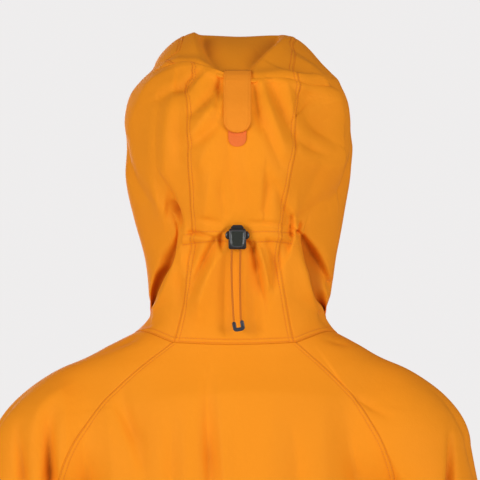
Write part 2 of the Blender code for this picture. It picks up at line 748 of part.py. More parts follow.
CLIP_NOTCH = (3.2, 6.0)
EDGE_ROUND = 0.9
PAST_FACE = 5  # how far a cutter runs on past the face that it opens
BLACK = (0.012, 0.012, 0.013)


def box(name, size, place, material, bevel=0.0, collection=None):
    """A rounded box of the given size in x, y and z, centred at a place."""
    mesh = bmesh.new()
    bmesh.ops.create_cube(mesh, size=1)
    bmesh.ops.scale(mesh, vec=np.array(size) * MM, verts=mesh.verts)
    data = bpy.data.meshes.new(name)
    mesh.to_mesh(data)
    mesh.free()
    piece = bpy.data.objects.new(name, data)
    piece.location = np.array(place) * MM
    (collection or parts).objects.link(piece)
    if material:
        data.materials.append(material)
    if bevel:
        rounding = piece.modifiers.new("rounding", "BEVEL")
        rounding.width = bevel * MM
        rounding.segments = 2
    return piece


def combine(piece, other, operation):
    """Joins or cuts a piece with another, which becomes a hidden guide."""
    for collection in list(other.users_collection):
        collection.objects.unlink(other)
    cutters.objects.link(other)
    other.hide_render = True
    other.display_type = "WIRE"
    change = piece.modifiers.new(other.name, "BOOLEAN")
    change.operation = operation
    change.object = other
    return piece


def chamfer_top(piece, size, cut):
    """Takes the two top corners off a box, seen from behind."""
    data = piece.data
    mesh = bmesh.new()
    mesh.from_mesh(data)
    width, height = size[0] * MM, size[2] * MM
    for side in (-1, 1):
        corner = Vector((side * (width / 2 - cut * MM), 0, height / 2))
        everything = mesh.verts[:] + mesh.edges[:] + mesh.faces[:]
        result = bmesh.ops.bisect_plane(
            mesh, geom=everything, plane_co=corner, plane_no=Vector((side, 0, 1)), clear_outer=True
        )
        edges = [item for item in result["geom_cut"] if isinstance(item, bmesh.types.BMEdge)]
        bmesh.ops.contextual_create(mesh, geom=edges)
    bmesh.ops.recalc_face_normals(mesh, faces=mesh.faces)
    mesh.to_mesh(data)
    mesh.free()


def build_lock():
    """The lock's body with its wings and plunger pocket, its face plate and the plunger."""
    low, high = LOCK_Z
    reach = LOCK_WIDTH / 2 + WING[0]
    half_width = LOCK_WIDTH / 2
    x, z = np.meshgrid(np.linspace(-half_width, half_width, 9), np.linspace(low, high, 9))
    back = panel_y(x, z).max() + LOCK_GAP
    middle_z = (low + high) / 2
    black = paint("lock_plastic", BLACK, 0.4)
    middle_y = back + LOCK_DEPTH / 2
    size = (LOCK_WIDTH, LOCK_DEPTH, high - low)
    body = box("cord_lock_body", size, (0, middle_y, middle_z), black, EDGE_ROUND)
    wing_size = (2 * reach, WING[2], WING[1])
    wing_place = (0, back + WING_SET + WING[2] / 2, middle_z)
    wings = box("lock_wings", wing_size, wing_place, None, EDGE_ROUND)
    combine(body, wings, "UNION")
    width, deep, tall = BUTTON_SIZE
    pocket_low = BUTTON_TOP_Z - tall - BUTTON_TRAVEL - POCKET_CLEARANCE
    pocket_high = high + PAST_FACE
    clear = 2 * POCKET_CLEARANCE
    pocket_size = (width + clear, deep + clear, pocket_high - pocket_low)
    pocket = box("plunger_pocket", pocket_size, (0, middle_y, (pocket_high + pocket_low) / 2), None)
    combine(body, pocket, "DIFFERENCE")
    button_place = (0, middle_y, BUTTON_TOP_Z - tall / 2)
    button = box("cord_lock_button", BUTTON_SIZE, button_place, paint("button_plastic", BLACK, 0.4))
    chamfer_top(button, BUTTON_SIZE, BUTTON_CORNER)
    face_y = back + LOCK_DEPTH + SEAM_GAP + FACE_SIZE[1] / 2
    face_place = (0, face_y, low + FACE_RISE + FACE_SIZE[2] / 2)
    grey = paint("face_plastic", (0.03, 0.035, 0.03), 0.45)
    box("cord_lock_face", FACE_SIZE, face_place, grey, FACE_ROUND)
    return back


def build_cords(back):
    """Two free strands hang from the lock to the clip that joins their ends."""
    y = back + CORD_STANDOFF
    top, end = LOCK_Z[0] - SEAM_GAP, CLIP_TOP_Z + SEAM_GAP
    share = np.linspace(0, 1, CORD_POINTS)
    for left, top_x, end_x, bow in zip(*CORDS.values()):
        name = "drawcord_left" if left else "drawcord_right"
        x = top_x + (end_x - top_x) * soft_step(share, -0.2, 1.2) + bow * np.sin(np.pi * share)
        z = top + (end - top) * share
        points = np.stack([x, np.full_like(x, y), z, np.full_like(x, 1 / MM)], axis=-1)
        curve = bpy.data.curves.new(name, "CURVE")
        curve.dimensions = "3D"
        spline = curve.splines.new("POLY")
        spline.points.add(CORD_POINTS - 1)
        spline.points.foreach_set("co", (points * MM).ravel())
        curve.bevel_depth = CORD_DIAMETER / 2 * MM
        curve.bevel_resolution = 2
        curve.use_fill_caps = True
        curve.materials.append(paint(f"{name}_cord", (0.3, 0.08, 0.015), 0.8))
        parts.objects.link(bpy.data.objects.new(name, curve))
    width, height, deep = CLIP_SIZE
    grey = paint("clip_plastic", (0.03, 0.035, 0.045), 0.4)
    clip = box("cord_end", (width, deep, height), (CLIP_X, y, CLIP_TOP_Z - height / 2), grey, EDGE_ROUND)
    notch_width, notch_height = CLIP_NOTCH
    notch_z = CLIP_TOP_Z + (PAST_FACE - notch_height) / 2
    notch_size = (notch_width, 3 * deep, notch_height + PAST_FACE)
    notch = box("clip_notch", notch_size, (CLIP_X, y, notch_z), None)
    combine(clip, notch, "DIFFERENCE")


build_cords(build_lock())

# ---------------------------------------------------------------- the zip

TAPE_THICK = 1.0
TAPE_GAP = 0.8  # of a tape behind its front
TAPE_REACH = 6.0  # of a tape behind the edge of its front
TAPE_EDGE_X = 3.0  # of a tape's other edge, from the middle
CHAIN_HALF_WIDTH = 2.5
CHAIN_THICK = 2.4
CHAIN_PROUD = 0.2  # of the tapes' outer face
SLIDER_SIZE = (10, 13, 3.2)
BAR_RADIUS = 0.8  # the slider's bridge, on which the pull tab turns
BAR_HEIGHT = 2.9  # of the bar's centre above the slider's face
BAR_PLACE = 0.2  # of the bar above the slider's middle, as a share of the slider's length
POST_X = (2.4, 3.4)
POST_LENGTH = 2.4
POST_SUNK = 0.5  # into the slider, and above the bar
PULL_SIZE = (5.6, 27, 1.6)
EYE_RADIUS = 2.3
EYE_BORE = 1.2
EYE_HALF_WIDTH = 2.0
EYE_WALL = 0.5  # of the tab's plate from the bore
GRIP_START = 1.2  # of the wider grip below the eye
METAL_ROUND = 0.4
SLIDER_ROUND = 0.6
STEEL = (0.25, 0.25, 0.26)


def build_zip():
    """Tapes behind the edges of the fronts, the closed chain between them, the slider and its tab."""
    for body_run, hood_run in zip_edges.values():
        body_run[1, -1] = unit(body_run[1, -1] + hood_run[1, 0])
    edges = {}
    for side, (body_run, hood_run) in zip_edges.items():
        edges[side] = np.concatenate([body_run, hood_run[:, 1:]], axis=1)
    middle = (edges["left"][0] + edges["right"][0]) / 2
    ahead = unit(np.gradient(middle, axis=0))
    out = np.stack([0 * ahead[:, 0], -ahead[:, 2], ahead[:, 1]], axis=-1)
    sunk = CLOTH + TAPE_GAP
    across = np.array([1.0, 0, 0])
    for side, order in (("left", 1), ("right", -1)):
        edge, facing, inward = edges[side]
        columns = [edge + inward * TAPE_REACH - facing * sunk, edge - facing * sunk]
        columns.append(edge * (0, 1, 1) + across * order * TAPE_EDGE_X - out * sunk)
        grid = np.stack(columns[::order], axis=1)
        normals = np.stack([facing, facing, out][::order], axis=1)
        woven = paint(f"tape_{side}", (0.5, 0.15, 0.02), 0.8)
        wall(f"zip_tape_{side}", grid, normals, woven, thick=TAPE_THICK)
    slider_end = SLIDER_SIZE[1] + SEAM_GAP
    top = middle[-1]
    kept = np.linalg.norm(middle - top, axis=1) > slider_end
    chain_top = top - ahead[-1] * slider_end
    chain = np.concatenate([middle[kept], chain_top[None]])
    chain_out = np.concatenate([out[kept], out[-1:]])
    outer = chain - chain_out * (sunk - CHAIN_PROUD)
    grid = np.stack([outer + across * x for x in (CHAIN_HALF_WIDTH, -CHAIN_HALF_WIDTH)], axis=1)
    normals = np.repeat(chain_out[:, None], 2, axis=1)
    wall("zip_chain", grid, normals, paint("zip_teeth", (0.4, 0.12, 0.02), 0.5), thick=CHAIN_THICK)
    build_slider(top, ahead[-1], out[-1], sunk)


def build_slider(top, ahead, out, sunk):
    """The slider stands at the top of the chain, with its tab hanging from the bar on its face."""
    width, length, thick = SLIDER_SIZE
    steel = paint("slider_metal", STEEL, 0.35, metallic=0.9)
    frame = Matrix((Vector((-1, 0, 0)), Vector(out), Vector(ahead))).transposed()
    centre = top - ahead * length / 2 - out * (sunk - SEAM_GAP - thick / 2)
    slider = box("zip_slider", (width, thick, length), centre, steel, SLIDER_ROUND)
    slider.rotation_euler = frame.to_euler()
    under_bar = centre + out * thick / 2 + ahead * BAR_PLACE * length
    bar_centre = under_bar + out * BAR_HEIGHT
    post_height = BAR_HEIGHT + BAR_RADIUS + POST_SUNK
    for side in (-1, 1):
        place = under_bar + out * (post_height / 2 - POST_SUNK) + side * np.array([sum(POST_X) / 2, 0, 0])
        post = box(f"post_{side}", (POST_X[1] - POST_X[0], post_height, POST_LENGTH), place, None)
        post.rotation_euler = frame.to_euler()
        combine(slider, post, "UNION")
    bar_length = sum(POST_X)
    combine(slider, rod("bridge_bar", BAR_RADIUS, bar_length, bar_centre), "UNION")
    pull_width, pull_length, pull_thick = PULL_SIZE
    pull = rod("zip_pull", EYE_RADIUS, 2 * EYE_HALF_WIDTH, (0, 0, 0), parts)
    pull.data.materials.append(paint("pull_metal", STEEL, 0.35, metallic=0.9))
    plate_place = bar_centre - (0, 0, EYE_BORE + EYE_WALL + pull_length / 2)
    plate_size = (1.6 * EYE_HALF_WIDTH, pull_thick, pull_length)
    plate = box("pull_plate", plate_size, plate_place, None, METAL_ROUND)
    grip_place = bar_centre - (0, 0, EYE_RADIUS + GRIP_START + pull_length / 2)
    grip_size = (pull_width, pull_thick, pull_length - 2 * GRIP_START)
    grip = box("pull_grip", grip_size, grip_place, None, METAL_ROUND)
    pull.location = bar_centre * MM
    combine(pull, plate, "UNION")
    combine(pull, grip, "UNION")
    combine(pull, rod("pull_bore", EYE_BORE, 3 * EYE_HALF_WIDTH, bar_centre), "DIFFERENCE")


def rod(name, radius, length, place, collection=None):
    """A cylinder along x, centred at a place."""
    mesh = bmesh.new()
    turned = Matrix.Rotation(math.pi / 2, 3, "Y")
    bmesh.ops.create_cone(
        mesh, cap_ends=True, segments=20, radius1=radius * MM, radius2=radius * MM, depth=length * MM
    )
    bmesh.ops.rotate(mesh, cent=(0, 0, 0), matrix=turned, verts=mesh.verts)
    data = bpy.data.meshes.new(name)
    mesh.to_mesh(data)
    mesh.free()
    piece = bpy.data.objects.new(name, data)
    piece.location = np.array(place) * MM
    (collection or parts).objects.link(piece)
    return piece


build_zip()
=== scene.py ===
# %% [markdown]
# # A hooded raglan rain jacket
# A rain jacket of coated cloth, worn with its hood up, is built here as it is sewn: panel by panel.
# The imported model comes first, because every visible piece sits where its solid is.

# %% Load the imported jacket
import math

import bpy
import numpy as np
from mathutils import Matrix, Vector
from mathutils.bvhtree import BVHTree


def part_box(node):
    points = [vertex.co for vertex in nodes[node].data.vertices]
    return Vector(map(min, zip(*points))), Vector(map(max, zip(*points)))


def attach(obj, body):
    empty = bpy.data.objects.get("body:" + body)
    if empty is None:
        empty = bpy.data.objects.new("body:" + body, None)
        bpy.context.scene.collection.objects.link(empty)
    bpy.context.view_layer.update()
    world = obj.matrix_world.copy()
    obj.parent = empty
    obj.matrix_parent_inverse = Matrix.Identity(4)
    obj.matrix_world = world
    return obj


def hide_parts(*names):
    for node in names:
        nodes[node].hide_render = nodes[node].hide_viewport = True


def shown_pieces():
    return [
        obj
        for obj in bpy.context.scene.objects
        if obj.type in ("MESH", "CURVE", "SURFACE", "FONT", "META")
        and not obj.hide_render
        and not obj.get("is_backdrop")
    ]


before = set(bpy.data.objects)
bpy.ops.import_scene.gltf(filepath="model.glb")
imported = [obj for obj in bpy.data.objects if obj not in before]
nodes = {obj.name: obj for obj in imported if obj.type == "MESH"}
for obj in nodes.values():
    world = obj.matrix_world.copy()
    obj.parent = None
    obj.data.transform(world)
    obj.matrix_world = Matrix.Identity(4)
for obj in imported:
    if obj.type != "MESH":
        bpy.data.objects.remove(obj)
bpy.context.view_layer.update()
MM = 0.001  # sizes below are in millimetres, meshes are written in metres

# %% [markdown]
# ## Camera
# The jacket is seen from behind, level with the middle of the hood. A long lens from three metres
# keeps the hood from looking larger than the shoulders, as a close camera would.

# %% Camera
VIEW_DISTANCE = 3000.0
VIEW_WIDTH = 552.0  # of what the lens takes in, at the origin's distance
EYE_LEVEL = 117.3
lens = bpy.data.cameras.new("camera")
lens.sensor_width = 36
lens.lens = lens.sensor_width * VIEW_DISTANCE / VIEW_WIDTH
camera = bpy.data.objects.new("camera", lens)
camera.location = (-2.9 * MM, VIEW_DISTANCE * MM, EYE_LEVEL * MM)
camera.rotation_euler = (math.pi / 2, 0, math.pi)
bpy.context.scene.collection.objects.link(camera)
bpy.context.scene.camera = camera
print("lens", round(lens.lens, 1), "mm from", camera.location[:])

# %% [markdown]
# ## Shaping tools
# Every surface is a function of two parameters on a grid of numbers. `table` names the columns of a
# short list of measurements, and `along` draws a smooth curve through one column. A tailor's pattern
# works in the same way: a few measured places, and a fair line drawn through them.

# %% Curves through measurements


def table(columns, *rows):
    """A short table of measurements: one array for each named column."""
    return dict(zip(columns.split(), np.array(rows, float).T))


def soft_step(value, low, high):
    """0 below low, 1 above high, and between them 3 s squared less 2 s cubed."""
    share = np.clip((value - low) / (high - low), 0, 1)
    return share * share * (3 - 2 * share)


def hill(distance, width):
    """A bell curve: e to the power of minus (distance over width) squared."""
    return np.exp(-((distance / width) ** 2))


def cubic(start, end, start_slope, end_slope, step, share):
    """The cubic between two values that has the given slopes there."""
    flat = start * (1 + 2 * share) * (1 - share) ** 2 + end * share * share * (3 - 2 * share)
    return flat + step * share * (1 - share) * (start_slope * (1 - share) - end_slope * share)


def interval(places, at):
    """Which stretch of the places each value lies in, how long that is, and its share of it."""
    at = np.clip(at, places[0], places[-1])
    i = np.clip(np.searchsorted(places, at, side="right") - 1, 0, len(places) - 2)
    step = places[i + 1] - places[i]
    return i, step, (at - places[i]) / step


def along(sections, column, at):
    """A named column at a place on the table's first column: a smooth curve through its rows."""
    places = next(iter(sections.values()))
    value = sections[column]
    slope = np.gradient(value, places)
    i, step, share = interval(places, at)
    return cubic(value[i], value[i + 1], slope[i], slope[i + 1], step, share)


def path(sections, at):
    """Points of the curve whose x, y and z are columns of the table."""
    return np.stack([along(sections, axis, at) for axis in "xyz"], axis=-1)


def unit(vectors):
    """Vectors divided by their lengths."""
    return vectors / np.linalg.norm(vectors, axis=-1, keepdims=True)


def spaced(start, end, step, fine, lines, reach=4.0):
    """Places from start to end, a step apart and only a fine step apart near each line: the count of
    places is the running sum of how dense they should be, read backwards."""
    scan = np.linspace(start, end, 4000)
    near = np.abs(scan[:, None] - np.array(lines, float)).min(axis=1)
    density = 1 / step + (1 / fine - 1 / step) * hill(near, reach)
    middle = (density[1:] + density[:-1]) / 2 * np.diff(scan)
    count = np.concatenate([[0], np.cumsum(middle)])
    return np.interp(np.linspace(0, count[-1], int(count[-1]) + 1), count, scan)


# %% [markdown]
# ## The drawcord
# On the real hood a thin round cord runs through the channel at the back, through the lock, and its
# two free strands hang down to a small clip. It is limp and short, so it simply hangs, with a slight
# bow. A curve with a round bevel would do from afar, but it has no weave. So each strand is a tube
# whose radius rises and falls along two crossing spirals, as a braid's does.

# %% Cord strands
CORD_DIAMETER = 2.2
CORD_STANDOFF = 4.5  # of the cords' centre from the back of the lock
CORD_TOP, CORD_END = 106.7, 27.3
CORDS = table("left top_x end_x bow", (1, 6.4, 3.9, 1.0), (0, -3.4, -3.8, 0.6))
CORD_RINGS, CORD_SIDES = 220, 20
BRAID_DEEP = 0.09  # of the braid, as a share of the cord's radius
BRAID_TURNS = 24
cord_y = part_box("cord_lock_body")[0].y / MM + CORD_STANDOFF


def mesh_piece(name, points, faces, uv=None, body="jacket", slot=None):
    """Puts points in millimetres and arrays of faces into a mesh, smooth, and lets it ride on a body."""
    points = np.asarray(points, float).reshape(-1, 3) * MM
    corners = np.concatenate([np.ravel(some) for some in faces]).astype(np.int32)
    sizes = np.concatenate([np.full(len(some), np.shape(some)[1]) for some in faces])
    data = bpy.data.meshes.new(name)
    data.vertices.add(len(points))
    data.vertices.foreach_set("co", points.ravel())
    data.loops.add(len(corners))
    data.loops.foreach_set("vertex_index", corners)
    data.polygons.add(len(sizes))
    data.polygons.foreach_set("loop_start", np.concatenate([[0], np.cumsum(sizes)[:-1]]))
    data.update(calc_edges=True)
    data.shade_smooth()
    if uv is not None:
        layer = data.uv_layers.new(name="UVMap")
        layer.data.foreach_set("uv", np.asarray(uv, float).reshape(-1, 2)[corners].ravel())
    piece = bpy.data.objects.new(name, data)
    bpy.context.scene.collection.objects.link(piece)
    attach(piece, body)
    return piece


def tube_faces(rings, sides):
    """Faces of a tube of rings, whose two end points come after the rings, seen from outside."""
    r, c = np.meshgrid(np.arange(rings - 1), np.arange(sides), indexing="ij")
    a, b = r * sides + c, r * sides + (c + 1) % sides
    walls = np.stack([a, b, b + sides, a + sides], axis=-1).reshape(-1, 4)
    here = np.arange(sides)
    after = (here + 1) % sides
    first, last = rings * sides, (rings - 1) * sides
    start = np.stack([after, here, 0 * here + first], axis=-1)
    end = np.stack([last + here, last + after, 0 * here + first + 1], axis=-1)
    return [walls, start, end]


def cord_strand(name, top_x, end_x, bow):
    """A tube round a line that sways softly from x to x. Its radius follows the higher of two sine
    waves that climb round it in opposite senses, which is the braid."""
    share = np.linspace(0, 1, CORD_RINGS)
    x = top_x + (end_x - top_x) * soft_step(share, -0.2, 1.2) + bow * np.sin(np.pi * share)
    line = np.stack([x, np.full_like(x, cord_y), CORD_TOP + (CORD_END - CORD_TOP) * share], axis=-1)
    angle = np.linspace(0, 2 * np.pi, CORD_SIDES, endpoint=False)
    climb = share[:, None] * 2 * np.pi * BRAID_TURNS
    weave = np.maximum(np.sin(2 * angle + climb), np.sin(2 * angle - climb))
    radius = CORD_DIAMETER / 2 * (1 - BRAID_DEEP * (1 - weave) / 2)
    ring = np.stack([-np.cos(angle) * radius, np.sin(angle) * radius, 0 * radius], axis=-1)
    points = np.concatenate([(line[:, None] + ring).reshape(-1, 3), line[[0, -1]]])
    turned, climbed = np.broadcast_arrays(angle / (2 * np.pi), share[:, None] * BRAID_TURNS)
    uv = np.stack([turned, climbed], axis=-1).reshape(-1, 2)
    uv = np.concatenate([uv, [[0, 0], [0, BRAID_TURNS]]])
    piece = mesh_piece(name, points, tube_faces(CORD_RINGS, CORD_SIDES), uv, slot="cord_brown")
    return piece, line * MM


cord_pieces = []
for left, top_x, end_x, bow in zip(*CORDS.values()):
    side = "left" if left else "right"
    strand, line = cord_strand(f"cord_{side}", top_x, end_x, bow)
    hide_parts(f"drawcord_{side}")
    cord_pieces.append(strand)

# %% [markdown]
# ## The cord lock and the clip
# The lock is moulded: a dark body with a pocket for its sprung button, a wing on either side, and a
# grey face plate with a raised rim. The clip that joins the cord ends is a thick U. A box with a Bevel
# modifier keeps straight sides. A stack of outlines, each a little smaller or larger than the last, can
# bulge at its sides, and be sharp at one edge and soft at the next, as a moulding is.

# %% Outlines and stacks


def rounded_outline(half_x, half_y, power=7.0, count=40, low_power=None):
    """A superellipse: |x/a|^p + |y/b|^p = 1. Its lower half can have rounder corners."""
    angle = np.linspace(0, 2 * np.pi, count, endpoint=False) + np.pi / count
    c, s = np.cos(angle), np.sin(angle)
    p = np.where(s < 0, low_power or power, power)
    across = half_x * np.sign(c) * np.abs(c) ** (2 / p)
    return np.stack([across, half_y * np.sign(s) * np.abs(s) ** (2 / p)], axis=-1)


def stack(rings):
    """Points and faces of a closed body whose skin runs over rings of equally many points."""
    rings = np.array(rings)
    count, sides = rings.shape[:2]
    points = np.concatenate([rings.reshape(-1, 3), rings[0].mean(0)[None], rings[-1].mean(0)[None]])
    return points, tube_faces(count, sides)


def joined(*bodies):
    """Several bodies as one list of points and faces."""
    points, faces, start = [], [], 0
    for some, parts in bodies:
        points.append(some)
        faces += [part + start for part in parts]
        start += len(some)
    return np.concatenate(points), faces


def plate(outline, layers, centre):
    """Rings of an outline in x and z: each layer has a y and an inset towards the centre."""
    away = outline / np.linalg.norm(outline, axis=1, keepdims=True)
    rings = []
    for y, inset in layers:
        flat = outline - away * inset + centre
        rings.append(np.insert(flat, 1, y, axis=1))
    return stack(rings)


# %% Lock body
LOCK_HALF_DEEP = 4.25
lock_back = cord_y - CORD_STANDOFF
lock_y = lock_back + LOCK_HALF_DEEP
SHELL = table(  # from the foot of the lock to the floor of its button's pocket
    "z half_x half_y",
    (107, 8.2, 3.1),
    (107.5, 9.0, 3.8),
    (109, 9.9, 4.25),
    (126.6, 9.9, 4.25),
    (129.6, 8.7, 4.2),
    (130, 8.3, 3.9),
    (130, 7.35, 2.55),
    (116, 7.35, 2.55),
)
shell_rings = []
for z, half_x, half_y in zip(*SHELL.values()):
    ring = rounded_outline(half_x, half_y)
    shell_rings.append(np.stack([ring[:, 0], ring[:, 1] + lock_y, np.full(len(ring), z)], axis=-1))
WING = np.array([(-2.4, 5), (1.2, 4.6), (3.4, 1.6), (3.4, -1.8), (1.4, -4.4), (-2.4, -4.6)])
WING_LAYERS = ((0.6, 0.5), (1.1, 0), (4.4, 0), (5, 0.6))  # distance from the lock's back, and inset
WING_X, WING_Z = 10, 122.5
wing_layers = [(lock_back + y, inset) for y, inset in WING_LAYERS]
wings = [plate(WING * (side, 1), wing_layers, (side * WING_X, WING_Z)) for side in (1, -1)]
wings[0] = (wings[0][0], [faces[:, ::-1] for faces in wings[0][1]])
lock = mesh_piece("lock_body", *joined(stack(shell_rings), *wings), slot="lock_black")
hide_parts("cord_lock_body")

# %% Lock face
# Distance out and inset of the plate's back and raised rim, then of the pad inside the rim.
FACE_LAYERS = ((0, 0), (0.7, 0), (1.25, 0.4), (1.4, 0.9), (1.25, 1.5), (0.8, 1.9), (0.85, 4.0), (0.95, 6.0))
RIM_LAYERS = 5
FACE_GAP = 0.1  # between the body and the plate
FACE_HALF = (8.6, 9.7)  # across and down
FACE_Z = 118.6
FACE_POINTS = 48
face_back = lock_back + 2 * LOCK_HALF_DEEP + FACE_GAP
face_outline = rounded_outline(*FACE_HALF, 7.0, FACE_POINTS, 3.2)
points, faces = plate(face_outline, [(face_back + y, inset) for y, inset in FACE_LAYERS], (0, FACE_Z))
face_plate = mesh_piece("lock_face", points, [f[:, ::-1] for f in faces], slot="lock_face")
pad = face_plate.data.attributes.new("pad", "FLOAT", "POINT")
on_pad = np.repeat(np.arange(len(FACE_LAYERS)) >= RIM_LAYERS, FACE_POINTS)
pad.data.foreach_set("value", np.append(on_pad, (False, True)).astype(float))
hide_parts("cord_lock_face")

# %% Clip
CLIP_PLACE = (-1.2, cord_y, 22.4)
CLIP_WIDE, CLIP_DEEP = 4.5, 4.3  # reach of its middle line to each prong, and down to the foot
FOOT_SHARE = 0.42  # of the way from the middle of the foot to the end of a prong
FOOT_BEND = -0.65 * CLIP_DEEP  # height at which the foot turns into a prong
PRONG_TOP = 5.2
CLIP_THICK = (2.15, 2.1)  # half of it, across the U and from front to back
CLIP_LEAN = math.radians(11)
CLIP_RINGS = 41


def clip_line(share):
    """The middle of the clip's thick U from one prong's end, at -1, to the other's, at 1: the foot is
    the fourth power of the share, the prongs are straight, and the whole leans to one side."""
    far = np.abs(share)
    x = CLIP_WIDE * np.sign(-share) * np.minimum(1, far * 2.6) ** 0.8
    foot = -CLIP_DEEP * (1 - (far / FOOT_SHARE) ** 4 * 0.35)
    prong = FOOT_BEND + (far - FOOT_SHARE) / (1 - FOOT_SHARE) * (PRONG_TOP - FOOT_BEND)
    z = np.where(far < FOOT_SHARE, foot, prong)
    leant_x = x * math.cos(CLIP_LEAN) + z * math.sin(CLIP_LEAN)
    leant_z = z * math.cos(CLIP_LEAN) - x * math.sin(CLIP_LEAN)
    return np.stack([leant_x, 0 * far, leant_z], axis=-1) + CLIP_PLACE


line = clip_line(np.linspace(-1, 1, CLIP_RINGS))
ahead = unit(np.gradient(line, axis=0))
across = np.cross(ahead, (0, 1, 0))
section = rounded_outline(*CLIP_THICK, 3.6, 16)
from_end = np.minimum(np.arange(CLIP_RINGS), np.arange(CLIP_RINGS)[::-1])
ends = np.clip(from_end / 2, 0.55, 1)[:, None, None]  # rounds the prongs' ends
clip_rings = line[:, None] + ends * (section[:, :1] * across[:, None] + section[:, 1:] * np.array((0, 1, 0)))
points, faces = stack(clip_rings)
clip = mesh_piece("cord_clip", points, faces, slot="clip_grey")
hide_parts("cord_end")
print("lock", len(lock.data.vertices), "face", len(face_plate.data.vertices), "clip", len(points), "points")

# %% [markdown]
# ## The form of the body and sleeves
# A worn jacket is first a smooth volume: a torso of rounded sections, an arm of oval ones, and a soft
# union of both at the shoulder. Sculpting or a cloth simulation could shape it too, but then a seam
# lands where the cloth ends up. Here the surface is found by casting rays out of the form, so that
# panels can be cut from it along any seam.

# %% Torso and arm
HEM_Z = -735
UNDERARM = (174, 5, -214)
TORSO = table(
    "z half_width back front squareness",
    (-735, 200, 150, -164, 2.5),
    (-600, 190, 147, -160, 2.5),
    (-450, 181, 142, -153, 2.6),
    (-330, 178, 147, -152, 2.6),
    (-230, 173, 146, -141, 2.5),
    (-150, 180, 138, -124, 2.3),
    (-90, 186, 124, -105, 2.1),
    (-50, 186, 111, -89, 1.9),
    (-25, 176, 102, -76, 1.8),
    (-8, 152, 96, -67, 1.8),
    (4, 130, 92, -61, 1.9),
    (16, 107, 89, -56, 2.0),
    (40, 86, 84, -50, 2.0),
)
ARM = table(
    "z x y across deep",
    (-640, 287, -40, 43, 50),
    (-530, 276, -14, 47, 57),
    (-430, 264, 3, 50, 65),
    (-330, 252, 7, 53, 72),
    (-230, 238, 5, 57, 78),
    (-170, 219, 4, 67, 80),
    (-118, 190, 3, 86, 82),
)
SHOULDER_RISE = 78  # of the rounded shoulder above the last arm section
SHOULDER_SLOPE = 1.75  # power of the shoulder's outline: 2 is round, 1 is a straight slope
BLEND = 42  # how softly the arm runs into the torso above the underarm
BLEND_RISE = 90  # over which height the blend sets in


# %% How far points lie outside the form


def torso_gap(p):
    """How far points lie outside the torso's superellipse sections, roughly: the powers of the shares
    across and back are added, and the root of their sum is 1 on the surface."""
    x, y, z = np.moveaxis(p, -1, 0)
    back, front = along(TORSO, "back", z), along(TORSO, "front", z)
    power = along(TORSO, "squareness", z)
    deep = (back - front) / 2
    across, away = np.abs(x) / along(TORSO, "half_width", z), np.abs(y - (back + front) / 2) / deep
    return ((across**power + away**power) ** (1 / power) - 1) * deep


def arm_gap(p):
    """How far points lie outside the arm's oval sections and the rounded shoulder above them."""
    x, y, z = np.moveaxis(p, -1, 0)
    top = ARM["z"][-1]
    level = np.minimum(z, top)
    across = along(ARM, "across", level)
    side = np.abs(np.abs(x) - along(ARM, "x", level)) / across
    above = np.maximum(z - top, 0) / SHOULDER_RISE
    power = 2 - (2 - SHOULDER_SLOPE) * soft_step(z, top - 60, top)
    outline = (side**power + above**power) ** (2 / power)
    front = (y - along(ARM, "y", level)) / along(ARM, "deep", level)
    return (np.sqrt(outline + front**2) - 1) * across


def form_gap(p):
    """The torso and arms as one form: a soft union above the underarm, a plain one below it."""
    torso, arm = torso_gap(p), arm_gap(p)
    soft = 1 + BLEND * soft_step(p[..., 2], UNDERARM[2], UNDERARM[2] + BLEND_RISE)
    share = np.clip(0.5 + (torso - arm) / (2 * soft), 0, 1)
    return torso * (1 - share) + arm * share - soft * share * (1 - share)


# %% Slopes and rays


def slope_of(gap, p, step=0.5):
    """The unit direction in which the gap grows, from its differences along x, y and z."""
    grown = [gap(p + offset) - gap(p - offset) for offset in np.eye(3) * step]
    return unit(np.stack(grown, axis=-1))


def cast(gap, start, direction, reach=330, steps=67, halvings=16):
    """Where rays from inside a form first leave it: a march outwards, then halving."""
    direction = unit(direction)
    far = np.full(direction.shape[:-1], float(reach))
    found = np.zeros(far.shape, bool)
    for distance in np.linspace(0, reach, steps)[1:]:
        outside = gap(start + direction * distance) > 0
        far = np.where(outside & ~found, distance, far)
        found |= outside
    near = far - reach / (steps - 1)
    for _ in range(halvings):
        middle = (near + far) / 2
        outside = gap(start + direction * middle[..., None]) > 0
        far, near = np.where(outside, middle, far), np.where(outside, near, middle)
    return start + direction * far[..., None]


chest = cast(form_gap, np.array([(0, 0, -200.0)]), np.array([(0, 1.0, 0)]))
print("the back of the chest lies at", chest.round(1))


# %% [markdown]
# ## Seams of the body and sleeves
# A raglan jacket has no shoulder seam: each sleeve runs up to the neck between the back and the front.
# The two raglan seams are drawn as seen from behind and from the front, and every panel is a fan of
# rays between its seams, so neighbours share their edges exactly.

